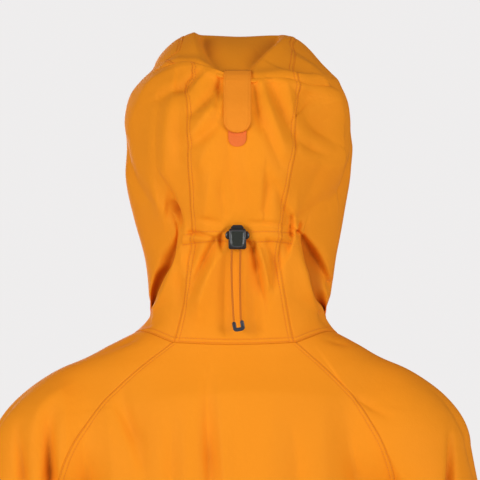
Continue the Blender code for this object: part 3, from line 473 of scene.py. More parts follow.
# %% Raglan seams
BACK_RAGLAN = table(
    "t x z",
    (0.00, UNDERARM[0], UNDERARM[2]),
    (0.14, 187, -190),
    (0.30, 188, -150),
    (0.45, 175, -114),
    (0.60, 158, -86),
    (0.74, 137, -58),
    (0.88, 106, -27),
    (1.00, 70, 3),
)
FRONT_RAGLAN = table(
    "t x z",
    (0.00, UNDERARM[0], UNDERARM[2]),
    (0.14, 181, -191),
    (0.30, 175, -157),
    (0.45, 160, -125),
    (0.60, 144, -99),
    (0.74, 126, -74),
    (0.88, 107, -48),
    (1.00, 87, -24),
)
BACK_NECK_DROP = 2  # of the middle of the back neck below the ends of its seam
FRONT_NECK_DROP = 38
NECK_SIDE_RISE = 23  # of the neck seam over the shoulder, above the line between the raglans
ZIP_EDGE = 9  # from the middle of the front to the edge of each front
SLEEVE_AXIS = table(
    "level x y z out_x out_z",
    (-1.00, 287, -40, -640, 1.00, 0.12),
    (-0.74, 276, -14, -530, 1.00, 0.12),
    (-0.51, 264, 3, -430, 1.00, 0.12),
    (-0.27, 252, 7, -330, 1.00, 0.12),
    (0.00, 236, 5, -214, 1.00, 0.12),
    (0.25, 216, 5, -163, 0.94, 0.34),
    (0.50, 182, 6, -112, 0.76, 0.65),
    (0.75, 138, 9, -66, 0.50, 0.87),
    (1.00, 90, 10, -32, 0.30, 0.95),
)


# %% Points on the form


def raglan(seam, level, facing):
    """Points of a raglan seam on the form; facing is 1 for the back and -1 for the front."""
    t = np.clip(level, 0, 1)
    x, z = along(seam, "x", t), along(seam, "z", t)
    inside = np.stack([x, np.full_like(x, UNDERARM[1]), z], axis=-1)
    points = cast(form_gap, inside, np.broadcast_to([0.0, facing, 0.0], inside.shape))
    return np.where((t > 0)[..., None], points, np.array(UNDERARM, float))


def torso_middle(z):
    """Half way between the torso's back and front."""
    return (along(TORSO, "back", z) + along(TORSO, "front", z)) / 2


def torso_ring(angles, z):
    """Points on the form at angles around the torso (90 degrees is the back) and at heights."""
    start = np.stack([np.zeros_like(z), torso_middle(z), z], axis=-1)
    return cast(form_gap, start, np.stack([np.cos(angles), np.sin(angles), 0 * z], axis=-1))


def angle_of(p):
    """The angle of points around the torso's middle: the arc tangent of y over x."""
    return np.arctan2(p[..., 1] - torso_middle(p[..., 2]), p[..., 0])


def front_edge_angle(z):
    """Where the edge of a front stands beside the zip."""
    return -np.pi / 2 + np.arctan(ZIP_EDGE / (torso_middle(z) - along(TORSO, "front", z)))


def panel_edge(seam, level, facing):
    """The edge of a back or front: its raglan seam, and below the underarm its side seam."""
    below = UNDERARM[2] + np.minimum(level, 0) * (UNDERARM[2] - HEM_Z)
    side = torso_ring(np.zeros_like(below), below)
    return np.where((level >= 0)[..., None], raglan(seam, level, facing), side)


# %% Back and fronts


def back_grid(level, across):
    """The back: rows up from the hem, columns from -1 at its right edge to 1 at its left edge."""
    edge = panel_edge(BACK_RAGLAN, level, 1)
    start = angle_of(edge)[:, None]
    drop = (BACK_NECK_DROP * np.maximum(level, 0))[:, None] * (1 - across**2)
    grid = torso_ring(np.pi / 2 - across * (np.pi / 2 - start), edge[:, 2:] - drop)
    grid[:, across >= 1] = edge[:, None]
    grid[:, across <= -1] = edge[:, None] * (-1, 1, 1)
    return grid


def front_grid(level, share):
    """The left front: columns from 0 at its side and raglan seams to 1 at the zip."""
    edge = panel_edge(FRONT_RAGLAN, level, -1)
    drop = (FRONT_NECK_DROP * np.maximum(level, 0))[:, None] * share**1.3
    z = edge[:, 2:] - drop
    start = angle_of(edge)[:, None]
    grid = torso_ring(start + (front_edge_angle(z) - start) * share, z)
    grid[:, share <= 0] = edge[:, None]
    return grid


# %% Sleeves


def neck_over_shoulder(share):
    """The left neck seam between the raglans, from the back to the front."""
    back = raglan(BACK_RAGLAN, np.ones(1), 1)[0]
    front = raglan(FRONT_RAGLAN, np.ones(1), -1)[0]
    z = back[2] + (front[2] - back[2]) * share + NECK_SIDE_RISE * np.sin(np.pi * share)
    return torso_ring(angle_of(back) + (angle_of(front) - angle_of(back)) * share, z)


def sleeve_grid(level, share):
    """The left sleeve: rows up from the cuff, columns from its back edge over the arm to its front
    edge. Each row is a fan of rays from the arm's axis; below the underarm it goes all the way round."""
    axis = path(SLEEVE_AXIS, level)
    ahead = unit(path(SLEEVE_AXIS, level + 0.02) - path(SLEEVE_AXIS, level - 0.02))
    out_x, out_z = along(SLEEVE_AXIS, "out_x", level), along(SLEEVE_AXIS, "out_z", level)
    out = np.stack([out_x, 0 * out_x, out_z], axis=-1)
    out = unit(out - (out * ahead).sum(-1, keepdims=True) * ahead)
    back = np.cross(ahead, out)
    back = back * np.sign(back[:, 1:2])
    angles, rises, edges = [], [], []
    for seam, facing in ((BACK_RAGLAN, 1), (FRONT_RAGLAN, -1)):
        edge = raglan(seam, level, facing)
        reach = edge - axis
        flat_out, flat_back = (reach * out).sum(-1), facing * (reach * back).sum(-1)
        angles.append(facing * np.where(level > 0, np.arctan2(flat_back, flat_out), np.pi))
        rises.append(np.where(level > 0, (reach * ahead).sum(-1) / np.hypot(flat_out, flat_back), 0))
        edges.append(edge)
    angle = angles[0][:, None] + (angles[1] - angles[0])[:, None] * share
    rise = rises[0][:, None] * np.clip(1 - 2 * share, 0, 1) ** 1.5
    rise = rise + rises[1][:, None] * np.clip(2 * share - 1, 0, 1) ** 1.5
    aim = [np.cos(angle)[..., None] * out[:, None], np.sin(angle)[..., None] * back[:, None]]
    direction = unit(aim[0] + aim[1] + rise[..., None] * ahead[:, None])
    neck = neck_over_shoulder(share)
    turn = soft_step(level, 0.45, 1.0)[:, None, None]
    direction = direction + turn * (unit(neck - axis[-1]) - direction[-1])
    start = np.broadcast_to(axis[:, None], direction.shape)
    above = (level > 0)[:, None, None]
    grid = np.where(above, cast(form_gap, start, direction), cast(arm_gap, start, direction))
    seamed = level >= 0
    grid[seamed, 0], grid[seamed, -1] = edges[0][seamed], edges[1][seamed]
    grid[-1] = neck
    return grid


# %% [markdown]
# ## The hood
# The hood is cut in three: a long centre panel from the nape over the crown to the brow, and a panel on
# each side. Each section across it is a smooth curve through four points: the middle, the panel seam,
# the widest place and the opening edge. Sections are numbered by their distance `u` along the middle,
# and places across them by `v`, from -1 at the right opening edge to 1 at the left one. A table of
# sections is easier to fit to a real hood than a cage of loose points, because each row is one slice.

# %% The hood's sections
SEAM_V, SIDE_V = 0.34, 0.67  # places across half a section: its panel seam and its widest point
HOOD = table(
    "u  cy cz  ex ey ez  sx sy sz  wx wy wz",
    (0, 93, 1, 69, 80, 3, 115, -3, 10, 9, -93, -61),
    (28, 92, 28, 62, 81, 29, 99, 0, 31, 9, -101, -36),
    (62, 93, 62, 56, 84, 61, 102, -2, 54, 9, -109, -8),
    (118, 96, 117, 51, 87, 116, 109, -10, 98, 20, -122, 30),
    (165, 108, 163, 54, 96, 161, 121, -16, 142, 52, -140, 68),
    (215, 117, 212, 61, 100, 210, 130, -22, 188, 75, -150, 104),
    (262, 108, 259, 65, 86, 255, 134, -30, 226, 84, -156, 136),
    (298, 86, 288, 67, 66, 282, 137, -40, 253, 87, -160, 158),
    (325, 66, 305, 67, 49, 300, 135, -50, 269, 87, -163, 173),
    (372, 22, 328, 70, 10, 325, 127, -68, 284, 87, -167, 192),
    (425, -30, 347, 71, -36, 344, 116, -95, 294, 86, -171, 208),
    (485, -88, 358, 71, -90, 354, 109, -127, 295, 85, -174, 223),
    (545, -145, 347, 67, -146, 337, 99, -158, 284, 84, -176, 237),
    (578, -174, 334, 64, -172, 322, 92, -173, 276, 83, -177, 246),
)
BROW_U = 578

# %% Tuck and panel seams
RIDGE_U = 322  # row that follows the ridge of the tuck
RIDGE_REACH = 80  # how far the rows around it bend with it
RIDGE = table(  # the overhanging tuck where the tab draws the crown back; v is negative on the right
    "v u out under",
    (-0.80, 270, 0, 0),
    (-0.62, 290, 0, 0),
    (-0.54, 306, 0, 0),
    (-0.475, 318, 3, 1),
    (-0.375, 321, 5, 5),
    (-0.23, 322, 5, 5),
    (-0.16, 318, 5, 5),
    (-0.08, 315, 5, 5),
    (0.0, 320, 4, 4),
    (0.09, 328, 6, 7),
    (0.14, 335, 6, 7),
    (0.195, 343, 6, 7),
    (0.25, 352, 5, 6),
    (0.34, 364, 4, 4),
    (0.42, 367, 2, 2),
    (0.52, 362, 0, 0),
    (0.62, 355, 0, 0),
)
NECK_REACH = 60  # rows over which the hood is drawn onto the neck seam
TUCK_PUSH = 9.0  # how far the cloth at the tuck stands out from the sections
SEAM_SLIDE = table(  # millimetres by which each panel seam is drawn outwards along the cloth
    "row left right",
    (0, -2, -3),
    (39, 4.7, -7),
    (76, 9.4, -11),
    (94, 10, -13),
    (111, 7.5, -10.8),
    (129, 5.4, -7.7),
    (160, 4.4, -3.5),
    (197, -1.4, -1),
    (234, -7.8, 1.5),
    (262, -11.5, 1.3),
    (287, -11, 3),
    (296, -20, 2.5),
    (305, -22, 2),
    (317, -20, 0),
    (323, 1, -3),
    (364, 0, -5),
    (401, -2.4, -5),
    (419, -3.4, -9),
    (430, -4, -7.5),
    (456, -5, -4.6),
    (493, -2, -2),
    (530, 0, 0),
    (578, 0, 0),
)
ACROSS_MM = 270  # rough length of half a hood section, to measure across it in

# %% The hood before its folds


def choose(layers, index):
    """From a stack of point grids, the point of the layer that each place asks for."""
    index = np.broadcast_to(index[None, ..., None], (1, *layers.shape[1:]))
    return np.take_along_axis(layers, index, axis=0)[0]


def hood_section(u, v):
    """The hood without folds: a smooth curve across each section, mirrored about the middle."""
    middle = np.stack([0 * u, along(HOOD, "cy", u), along(HOOD, "cz", u)], axis=-1)
    seam, side, edge = (np.stack([along(HOOD, key + axis, u) for axis in "xyz"], axis=-1) for key in "esw")
    places = np.array([-SEAM_V, 0, SEAM_V, SIDE_V, 1])
    values = np.stack([seam * (-1, 1, 1), middle, seam, side, edge])
    slopes = np.gradient(values, places, axis=0)
    i, step, share = interval(places, np.abs(v))
    ends = [choose(data, k) for data in (values, slopes) for k in (i, i + 1)]
    points = cubic(*ends, step[..., None], share[..., None])
    points[..., 0] *= np.where(v < 0, -1, 1)
    return points


def neck_seam(v):
    """The body's neck seam at places across the hood: over the back, the sleeve and the front."""
    side = np.abs(v)
    over = (side - SEAM_V) / (1 - SEAM_V) * 1.5
    top = np.ones(1)
    back = back_grid(top, np.clip(side / SEAM_V, 0, 1))[0]
    sleeve = neck_over_shoulder(np.clip(over, 0, 1))
    front = front_grid(top, np.clip((over - 1) * 2, 0, 1))[0]
    seam = np.where((side <= SEAM_V)[:, None], back, np.where((over <= 1)[:, None], sleeve, front))
    return seam * np.stack([np.where(v < 0, -1, 1), 0 * v + 1, 0 * v + 1], axis=-1)


def hood_form(row, v, seam):
    """The hood before its folds: its rows bend to follow the tuck's ridge, and its first row is drawn
    onto the neck seam."""
    u = row + (along(RIDGE, "u", v) - RIDGE_U) * hill(row - RIDGE_U, RIDGE_REACH)
    u, v = np.broadcast_arrays(np.clip(u, 0, BROW_U), v)
    first = hood_section(0 * v[:1], v[:1])[0]
    return hood_section(u, v) + (seam - first) * (1 - soft_step(row, 0, NECK_REACH))[..., None]


def grid_normals(grid):
    """Unit normals of a grid whose rows go up and whose columns go to the left, seen from outside."""
    up, left = np.gradient(grid, axis=0), np.gradient(grid, axis=1)
    return unit(np.cross(up, left))


print("hood seam at the nape", hood_section(np.zeros(1), np.array([SEAM_V])).round(1))

# %% [markdown]
# ## Creases
# Coated cloth falls in soft troughs and ridges that start where it is pulled: under the tab, at both
# ends of the drawcord's channel and below the shoulders. Each is a short bent line in one view, with
# its own width on either side and a depth at its start, middle and end. A ridge has a negative depth.
# A simulation would fold the cloth where it likes; listed one by one, each crease starts where it should.

# %% Creases seen from behind
CREASE_COLUMNS = "x0 z0 x1 z1 x2 z2 left right d0 d1 d2"
BACK_CREASES = table(
    CREASE_COLUMNS,
    # the crown, above the tuck
    (37, 346, 37, 332, 20, 309, 5, 16, 9, 8, 4),
    (48, 345, 50, 330, 40, 314, 9, 5, -4, -4, -2),
    (-41, 342, -26, 330, -12, 310, 16, 5, 8, 8, 4),
    (-52, 338, -36, 324, -20, 310, 5, 9, -4, -4, -2),
    (-62, 331, -80, 322, -104, 300, 4, 6, 3, 4, 2),
    (-66, 318, -80, 312, -96, 298, 6, 5, -2, -3, -1),
    (-82, 294, -115, 284, -113, 206, 30, 4, -9, -21, -15),
    # fanning out from under the tab, on the left
    (50, 300, 60, 288, 84, 276, 4, 10, 5, 9, 5),
    (62, 308, 85, 298, 104, 280, 7, 7, -3, -4, -2),
    (34, 302, 44, 293, 54, 280, 5, 7, -3, -5, -3),
    (20, 303, 18, 288, 23, 268, 4, 6, 4, 5, 3),
    (22, 290, 34, 274, 52, 258, 6, 6, 4, 7, 4),
    (20, 272, 34, 256, 50, 236, 9, 8, -3, -6, -3),
    (22, 248, 36, 232, 54, 222, 8, 7, 3, 6, 3),
    (26, 228, 40, 212, 46, 188, 8, 8, -2, -3, -2),
    (72, 276, 80, 240, 79, 168, 24, 13, -8, -14, -9),
    (84, 268, 92, 236, 86, 170, 5, 16, 2, 5, 3),
    (92, 292, 112, 270, 118, 236, 8, 12, -2, -4, -2),
    (62, 270, 66, 240, 64, 205, 5, 6, 1, 3, 2),
    # and on the right
    (-18, 296, -20, 268, -26, 244, 7, 5, 4, 5, 3),
    (-22, 262, -34, 238, -49, 200, 7, 8, 3, 5, 3),
    (-38, 290, -47, 268, -62, 236, 8, 6, 5, 8, 5),
    (-28, 290, -38, 258, -54, 215, 7, 7, -2, -3, -2),
    (-54, 290, -62, 262, -64, 244, 5, 5, -2, -3, -1),
    (-72, 262, -84, 240, -106, 222, 8, 16, 5, 10, 6),
    (-70, 226, -80, 218, -96, 212, 4, 7, 3, 5, 2),
    (-68, 215, -82, 205, -104, 196, 10, 10, -3, -3, -1),
    (-64, 236, -66, 226, -66, 214, 3, 3, 1, 3, 1),
    # down to the drawcord's channel
    (80, 184, 73, 166, 68, 150, 10, 4, 4, 10, 7),
    (70, 156, 65, 147, 62.5, 138, 6, 2, 6, 13, 10),
    (92, 180, 86, 155, 78, 136, 10, 8, -3, -4, -2),
    (48, 205, 44, 190, 46, 168, 7, 9, 1, 4, 2),
    (10, 238, 9, 205, 3, 160, 9, 9, 1, 3.5, 2),
    (18, 185, 18, 170, 14, 146, 6, 6, 1, 3, 2),
    (30, 190, 32, 170, 36, 146, 9, 9, -1, -3, -2),
    (-10, 225, -14, 190, -12, 150, 12, 12, -1, -3, -1),
    (-32, 196, -34, 176, -30, 150, 4, 10, 2, 6, 4),
    (-44, 178, -49, 162, -56, 140, 7, 6, 2, 5, 6),
    (-104, 168, -84, 152, -70, 142, 8, 8, 1, 4, 5),
    (-67, 112, -72, 84, -86, 40, 15, 4, -4, -9, -7),
    (64, 106, 69, 84, 90, 40, 4, 15, -4, -9, -7),
    (-92, 205, -86, 185, -76, 160, 9, 9, 1, 3, 2),
    (-66, 170, -65, 148, -64, 126, 5, 5, -1, -3, -4),
    # where the channel's ends are pinched
    (-68, 126, -88, 108, -104, 70, 13, 2, 5, 15, 8),
    (-61, 143, -60.5, 134, -59, 122, 1.6, 2, 4, 6, 4),
    (-59, 122, -58.5, 112, -54, 98, 6, 2, 4, 6, 2),
    (-70.5, 135, -69, 131, -67, 126, 1.8, 2.5, 6, 9, 8),
    (-65, 135, -65, 130, -64, 124, 3.5, 3.5, -2, -4, -2),
    (57, 137, 57, 128, 58, 118, 6, 5, -2, -4, -2),
    (62, 112, 58, 96, 64, 82, 6, 6, -2, -3, -2),
    (64, 86, 66, 70, 62, 48, 5, 6, 2, 4, 2),
    # below the channel
    (52, 126, 38, 124, 26, 119, 2, 2.5, 3, 5, 3),
    (46, 141, 34, 139, 20, 136, 3, 4, 1, 3, 2),
    (-14, 137, -32, 136, -56, 134, 2.5, 2, 1.5, 3, 2),
    (19, 122, 18.5, 114, 17, 107, 2.5, 3, 4, 7, 3),
    (24, 117, 38, 99, 50, 66, 4.5, 13, 7, 11, 5),
    (14, 108, 32, 90, 44, 50, 8, 8, -2, -5, -3),
    (12, 100, 14, 60, 14, 18, 7, 10, 1, 3.5, 3.5),
    (24, 100, 36, 70, 44, 36, 12, 12, -2, -4, -3),
    (-9, 117, -19, 109, -22, 88, 6, 2.5, 4, 7, 5),
    (-22, 92, -23, 70, -30, 46, 10, 3.5, 5, 7, 2),
    (-18, 114, -19, 109, -18, 104, 2, 2, 2, 5, 2),
    (-25, 108, -31, 88, -35, 66, 6, 2.5, -4, -6, -3),
    (-34, 112, -42, 94, -40, 70, 4, 8, 4, 8, 4),
    (-16, 60, -19, 38, -22, 14, 9, 9, 1, 4, 3),
    (-6, 100, -9, 70, -12, 30, 8, 8, -1, -3, -2),
    (-50, 112, -47, 98, -44, 84, 5, 5, 3, 4, 1),
    (46, 112, 50, 98, 54, 84, 5, 5, 3, 4, 2),
    # the collar's flare
    (84, 30, 98, 24, 112, 17, 4, 6, 2, 4, 4),
    (106, 14, 126, 4, 152, -8, 4, 5, 4, 3, 1),
    (-78, 14, -98, 8, -118, 2, 4, 4, 2, 3, 2),
    (-92, 34, -100, 24, -108, 12, 5, 5, 2, 3, 2),
    # shoulders and upper back
    (196, -52, 226, -66, 228, -104, 14, 10, -3, -5, -3),
    (208, -78, 213, -130, 203, -232, 6, 10, 3, 17, 1),
    (200, -86, 200, -130, 192, -210, 7, 7, -1, -6, -1),
    (243, -92, 241, -130, 232, -215, 6, 8, 3, 10, 1),
    (192, -62, 190, -100, 186, -160, 14, 14, -2, -4, -3),
    (172, -105, 167, -140, 156, -228, 8, 9, 1, 7, 1),
    (128, -52, 124, -76, 112, -100, 7, 9, 2, 4, 2),
    (33, -38, 35, -105, 24, -240, 7, 13, 2, 10, 2),
    (120, -66, 0, -46, -124, -64, 40, 26, -3, -9, -3),
    (132, -70, 118, -92, 108, -130, 5, 10, 2, 5, 2),
    (70, -84, 78, -130, 66, -200, 9, 14, 1, 5, 1),
    (-60, -92, -70, -130, -66, -200, 12, 10, 1, 4, 1),
    (22, -60, 18, -110, 8, -220, 9, 9, -1, -4, -1),
    (106, -66, 108, -100, 102, -165, 12, 12, 1, 3, 3),
    (146, -68, 140, -100, 138, -160, 14, 14, -2, -4, -3),
    (62, -70, 60, -100, 58, -170, 16, 16, -1, -3, -3),
    (-128, -58, -186, -136, -224, -236, 12, 62, -2, -8, -3),
    (-122, -88, -129, -130, -142, -225, 10, 10, 1, 6, 1),
    (-96, -60, -94, -100, -100, -170, 16, 16, -1, -3, -3),
    (-235, -96, -236, -135, -228, -232, 2.5, 10, 3, 17, 1),
    (-240, -98, -245, -130, -240, -200, 5, 6, -2, -4, -1),
    (-134, -62, -148, -70, -166, -80, 3.5, 5, 2, 3, 1),
    (-40, -60, -36, -100, -30, -170, 18, 18, -1, -2, -3),
    # lower back and sleeves
    (150, -190, 128, -255, 92, -330, 18, 22, 4, 8, 3),
    (-152, -195, -122, -265, -84, -345, 22, 18, 4, 9, 3),
    (16, -200, 10, -260, 8, -340, 13, 16, 2, 5, 1),
    (60, -420, 66, -560, 84, -735, 24, 26, 2, 7, 7),
    (-48, -400, -54, -560, -70, -735, 26, 28, 2, 8, 8),
    (120, -380, 132, -520, 140, -735, 20, 24, 1, -5, -6),
    (0, -520, 6, -620, 10, -735, 22, 22, -1, -4, -5),
    (236, -236, 262, -262, 294, -292, 12, 14, 4, 7, 4),
    (228, -300, 262, -318, 294, -338, 10, 14, 6, 9, 5),
    (236, -364, 262, -372, 292, -380, 12, 12, 3, 6, 3),
    (-238, -236, -262, -256, -292, -286, 12, 14, 4, 7, 4),
    (-232, -292, -264, -305, -294, -326, 14, 10, 6, 9, 5),
    (-236, -350, -262, -362, -292, -366, 12, 12, 3, 6, 3),
    (252, -560, 284, -566, 316, -582, 10, 13, 4, 6, 4),
    (-250, -566, -284, -574, -318, -590, 13, 10, 4, 6, 4),
)

print("creases on the back", len(BACK_CREASES["x0"]))

# %% How deep creases are


def crease_depth(creases, place):
    """How far creases draw each place inwards. A crease is the curve (1-s)^2 p0 + 2s(1-s) p1 + s^2 p2;
    away from it the depth falls as half a bell and half a pointed tent, a width on each side."""
    depth = np.zeros(place.shape[:-1])
    s = np.linspace(0, 1, 13)[:, None]
    for x0, z0, x1, z1, x2, z2, left, right, d0, d1, d2 in zip(*creases.values()):
        line = (1 - s) ** 2 * (x0, z0) + 2 * s * (1 - s) * (x1, z1) + s * s * (x2, z2)
        reach = 2.8 * max(left, right)
        near = ((place > line.min(0) - reach) & (place < line.max(0) + reach)).all(-1)
        start, run = line[:-1], np.diff(line, axis=0)
        off = place[near][:, None] - start
        t = np.clip((off * run).sum(-1) / (run * run).sum(-1), 0, 1)
        off = off - t[..., None] * run
        away = np.hypot(off[..., 0], off[..., 1])
        beside = run[:, 0] * off[..., 1] - run[:, 1] * off[..., 0]
        best = away.argmin(1)[:, None]
        away, t, beside = (np.take_along_axis(a, best, 1)[:, 0] for a in (away, t, beside))
        share = (best[:, 0] + t) / (len(s) - 1)
        side = soft_step(beside / np.hypot(*run.mean(0)), -1.5, 1.5)
        q = away / (left * side + right * (1 - side))
        fall = 0.5 * np.exp(-q * q) + 0.5 * np.exp(-1.5 * (np.sqrt(q * q + 0.04) - 0.2))
        depth[near] += fall * np.interp(share, [0, 0.5, 1], [d0, d1, d2])
    return depth


# %% Where points appear, and how the worn hood leans
HOOD_BACK_Y = 105
VIEW_Z = 117  # level of the middle of the view


def seen_from_behind(points):
    """Where points appear across the view, in millimetres at the back of the hood: their offsets from
    its middle, times the hood's distance over their own."""
    nearer = (VIEW_DISTANCE - HOOD_BACK_Y) / (VIEW_DISTANCE - points[..., 1])
    return np.stack([points[..., 0] * nearer, VIEW_Z + (points[..., 2] - VIEW_Z) * nearer], axis=-1)


LEAN = table("z across", (-735, 4), (-5, 4), (60, -2), (220, -2), (270, 0), (362, 0))
PULLED_IN = table(  # how far each side of the hood is drawn in
    "z left right",
    (-735, 0, 0),
    (-40, 0, 0),
    (0, 0, 0),
    (14, 0, 0),
    (38, 0, -3),
    (62, 0, -3.5),
    (88, 0, -3),
    (110, 0, -2),
    (140, 0, 0),
    (200, 1, 0),
    (225, 4, -1),
    (249, 5.5, 4.5),
    (276, 4.5, 3.3),
    (295, 3, 0),
    (306, 5, -3),
    (314, 7, -2),
    (330, 2, 0),
    (362, 0, 0),
)


def leaned(points):
    """Points as worn, a little to one side of the shoulders at the neck, but not at the zip."""
    x, y, z = np.moveaxis(points, -1, 0)
    moved = along(LEAN, "across", z) * soft_step(y, -60, 40)
    moved = moved - along(PULLED_IN, "left", z) * soft_step(x, 40, 120)
    moved = moved + along(PULLED_IN, "right", z) * soft_step(-x, 40, 120)
    return points + moved[..., None] * np.array((1, 0, 0))


# %% Creases of the front and sides
FRONT_CREASES = table(
    CREASE_COLUMNS,
    (150, -195, 128, -255, 104, -345, 18, 20, 4, 8, 3),
    (-150, -205, -126, -270, -96, -360, 20, 18, 4, 8, 3),
    (80, -430, 88, -560, 100, -735, 22, 26, 2, 8, 8),
    (-90, -410, -84, -560, -82, -735, 26, 22, 2, 7, 7),
    (130, -300, 134, -420, 140, -560, 20, 20, -2, -5, -2),
    (-136, -320, -134, -440, -138, -560, 20, 20, -2, -5, -2),
    (96, -70, 92, -110, 84, -170, 12, 14, 2, 6, 3),
    (-98, -66, -96, -110, -88, -175, 14, 12, 2, 6, 3),
    (60, -120, 52, -180, 48, -260, 14, 14, 1, 5, 2),
    (-56, -110, -50, -175, -50, -250, 14, 14, 1, 5, 2),
    (196, -80, 204, -120, 214, -180, 12, 12, 2, 8, 5),
    (-198, -84, -206, -120, -214, -180, 12, 12, 2, 8, 5),
    (236, -234, 264, -250, 292, -282, 12, 14, 4, 7, 4),
    (232, -352, 262, -334, 290, -322, 14, 12, 6, 9, 5),
    (234, -300, 260, -300, 288, -300, 12, 12, 3, 6, 3),
    (-236, -240, -262, -256, -292, -290, 12, 14, 4, 7, 4),
    (-230, -350, -262, -336, -292, -330, 12, 14, 6, 9, 5),
    (-236, -300, -262, -296, -290, -302, 12, 12, 3, 6, 3),
    (250, -596, 284, -580, 318, -566, 12, 10, 4, 6, 4),
    (-252, -590, -284, -582, -318, -570, 10, 12, 4, 6, 4),
    (88, 60, 84, 20, 70, -20, 9, 9, 2, 6, 3),
    (-88, 64, -82, 22, -68, -18, 9, 9, 2, 6, 3),
)
SIDE_CREASES = table(  # x is the distance towards the back here, the same on both sides
    CREASE_COLUMNS,
    (40, 160, 0, 190, -40, 236, 12, 12, 2, 6, 3),
    (-58, 198, -76, 230, -112, 256, 10, 12, 3, 7, 3),
    (-58, 304, -84, 268, -124, 240, 12, 10, 2, 6, 3),
    (-60, 176, -94, 168, -130, 174, 10, 12, 1, 5, 3),
    (-30, 90, -70, 76, -104, 70, 10, 10, 2, 6, 4),
    (30, -40, 22, -90, 20, -150, 12, 14, 2, 6, 3),
    (-30, -50, -26, -100, -34, -160, 12, 14, 2, 6, 3),
    (60, -300, 20, -322, -30, -320, 12, 12, 3, 7, 3),
    (46, -240, 10, -262, -40, -276, 12, 12, 3, 6, 3),
    (40, -470, 0, -500, -50, -500, 16, 16, 2, 5, 2),
)

print("creases of the front and sides", len(FRONT_CREASES["x0"]), len(SIDE_CREASES["x0"]))

# %% Creased cloth
WAVES = np.random.default_rng(5)
WAVE_WAYS = unit(WAVES.normal(size=(18, 3))) / WAVES.uniform(7, 26, (18, 1))
WAVE_STARTS = WAVES.uniform(0, 6.3, 18)


def waviness(points):
    """The mean of eighteen sine waves that cross in all directions, which keeps cloth from lying dead."""
    return np.sin(points @ WAVE_WAYS.T + WAVE_STARTS).mean(-1) * 0.9


def creased(points, normals, fade):
    """Points moved in along their normals by every crease that faces them, and by a slight waviness;
    and how deep the creases are there."""
    x, y, z = np.moveaxis(points, -1, 0)
    across, towards = normals[..., 0], normals[..., 1]
    back = crease_depth(BACK_CREASES, seen_from_behind(points)) * soft_step(towards, -0.1, 0.3) * fade
    depth = crease_depth(FRONT_CREASES, np.stack([x, z], axis=-1)) * soft_step(-towards, 0, 0.4)
    depth += crease_depth(SIDE_CREASES, np.stack([y, z], axis=-1)) * soft_step(np.abs(across), 0.4, 0.85)
    inwards = normals * ((depth + waviness(points)) * fade)[..., None]
    return points - inwards - unit(normals * (0.3, 1, 1)) * back[..., None], back + depth * fade


def painted_crease_shade(depth):
    """How much painted shade the cloth gets: 0 on open cloth, towards 1 at the bottom of a deep crease."""
    return soft_step(depth, 2, 17)


# %% [markdown]
# ## Cloth panels
# Each panel is a closed wall: its outside, an inside one cloth thickness under it, and a rim. Near a
# seam the cloth is drawn down into the stitching and swells between two rows of it, and at a hem it
# is folded over and thicker. The wall is worked out point by point, rather than by a Solidify modifier,
# because its thickness changes at each hem. Neighbouring panels share their edge, so no gap shows.

# %% Relief at seams and hems
CLOTH = 1.0
HEM_THICK = 1.2  # more where a hem is folded over
STITCH_ROWS = (1.4, 5.8)  # distances of the two rows of topstitching from their seam
HEM_WIDE = 22
HEM_STITCH = 2  # from the inner edge of a hem to its stitches
BRIM_WIDE = 15
CHANNEL = (114, 129)  # lower and upper edge of the drawcord's channel
CHANNEL_LINES = (CHANNEL[0] + 1.5, CHANNEL[1] - 1.5)  # its stitching
CHANNEL_END_V = 0.415


def edge_distance(grid, edge):
    """How far each point lies from an edge of its grid, along the rows or columns of the grid."""
    axis = 0 if edge in ("bottom", "top") else 1
    steps = np.linalg.norm(np.diff(grid, axis=axis), axis=-1)
    pad = [(1, 0), (0, 0)] if axis == 0 else [(0, 0), (1, 0)]
    run = np.cumsum(np.pad(steps, pad), axis=axis)
    return run if edge in ("bottom", "first") else run.take([-1], axis=axis) - run


def seam_relief(away, stitched):
    """Height of the cloth near a seam, and how much of a stitching line is there."""
    lines = 0.6 * hill(away, 0.6)
    height = -0.35 * hill(away, 0.8)
    if stitched:
        for row in STITCH_ROWS:
            lines = np.maximum(lines, 0.6 * hill(away - row, 0.7))
            height = height - 0.3 * hill(away - row, 0.8)
        height = height + 0.35 * hill(away - sum(STITCH_ROWS) / 2, 1.9)
    return height, lines


def hem_relief(away, width):
    """Height, stitching line and extra thickness of a hem that is folded over."""
    inside = 1 - soft_step(away, width - 0.8, width + 0.8)
    line = hill(away - width + HEM_STITCH, 0.9)
    return 0.5 * inside - 0.4 * line, 0.75 * line, HEM_THICK * inside


def relief(grid, seams, stitched=(), hems=()):
    """Adds up what a panel's seams and hems do: its height, stitching lines and thickness."""
    height, lines, thick = 0, 0 * grid[..., 0], CLOTH + 0 * grid[..., 0]
    for edge in seams:
        up, line = seam_relief(edge_distance(grid, edge), edge in stitched)
        height, lines = height + up, np.maximum(lines, line)
    for edge, width in hems:
        up, line, more = hem_relief(edge_distance(grid, edge), width)
        height, lines, thick = height + up, np.maximum(lines, line), np.maximum(thick, CLOTH + more)
    return height, lines, thick


# %% Closed cloth walls


def grid_faces(index):
    """Faces of a grid of numbered points: the four corners of each of its cells."""
    return np.stack([index[:-1, :-1], index[1:, :-1], index[1:, 1:], index[:-1, 1:]], axis=-1).reshape(-1, 4)


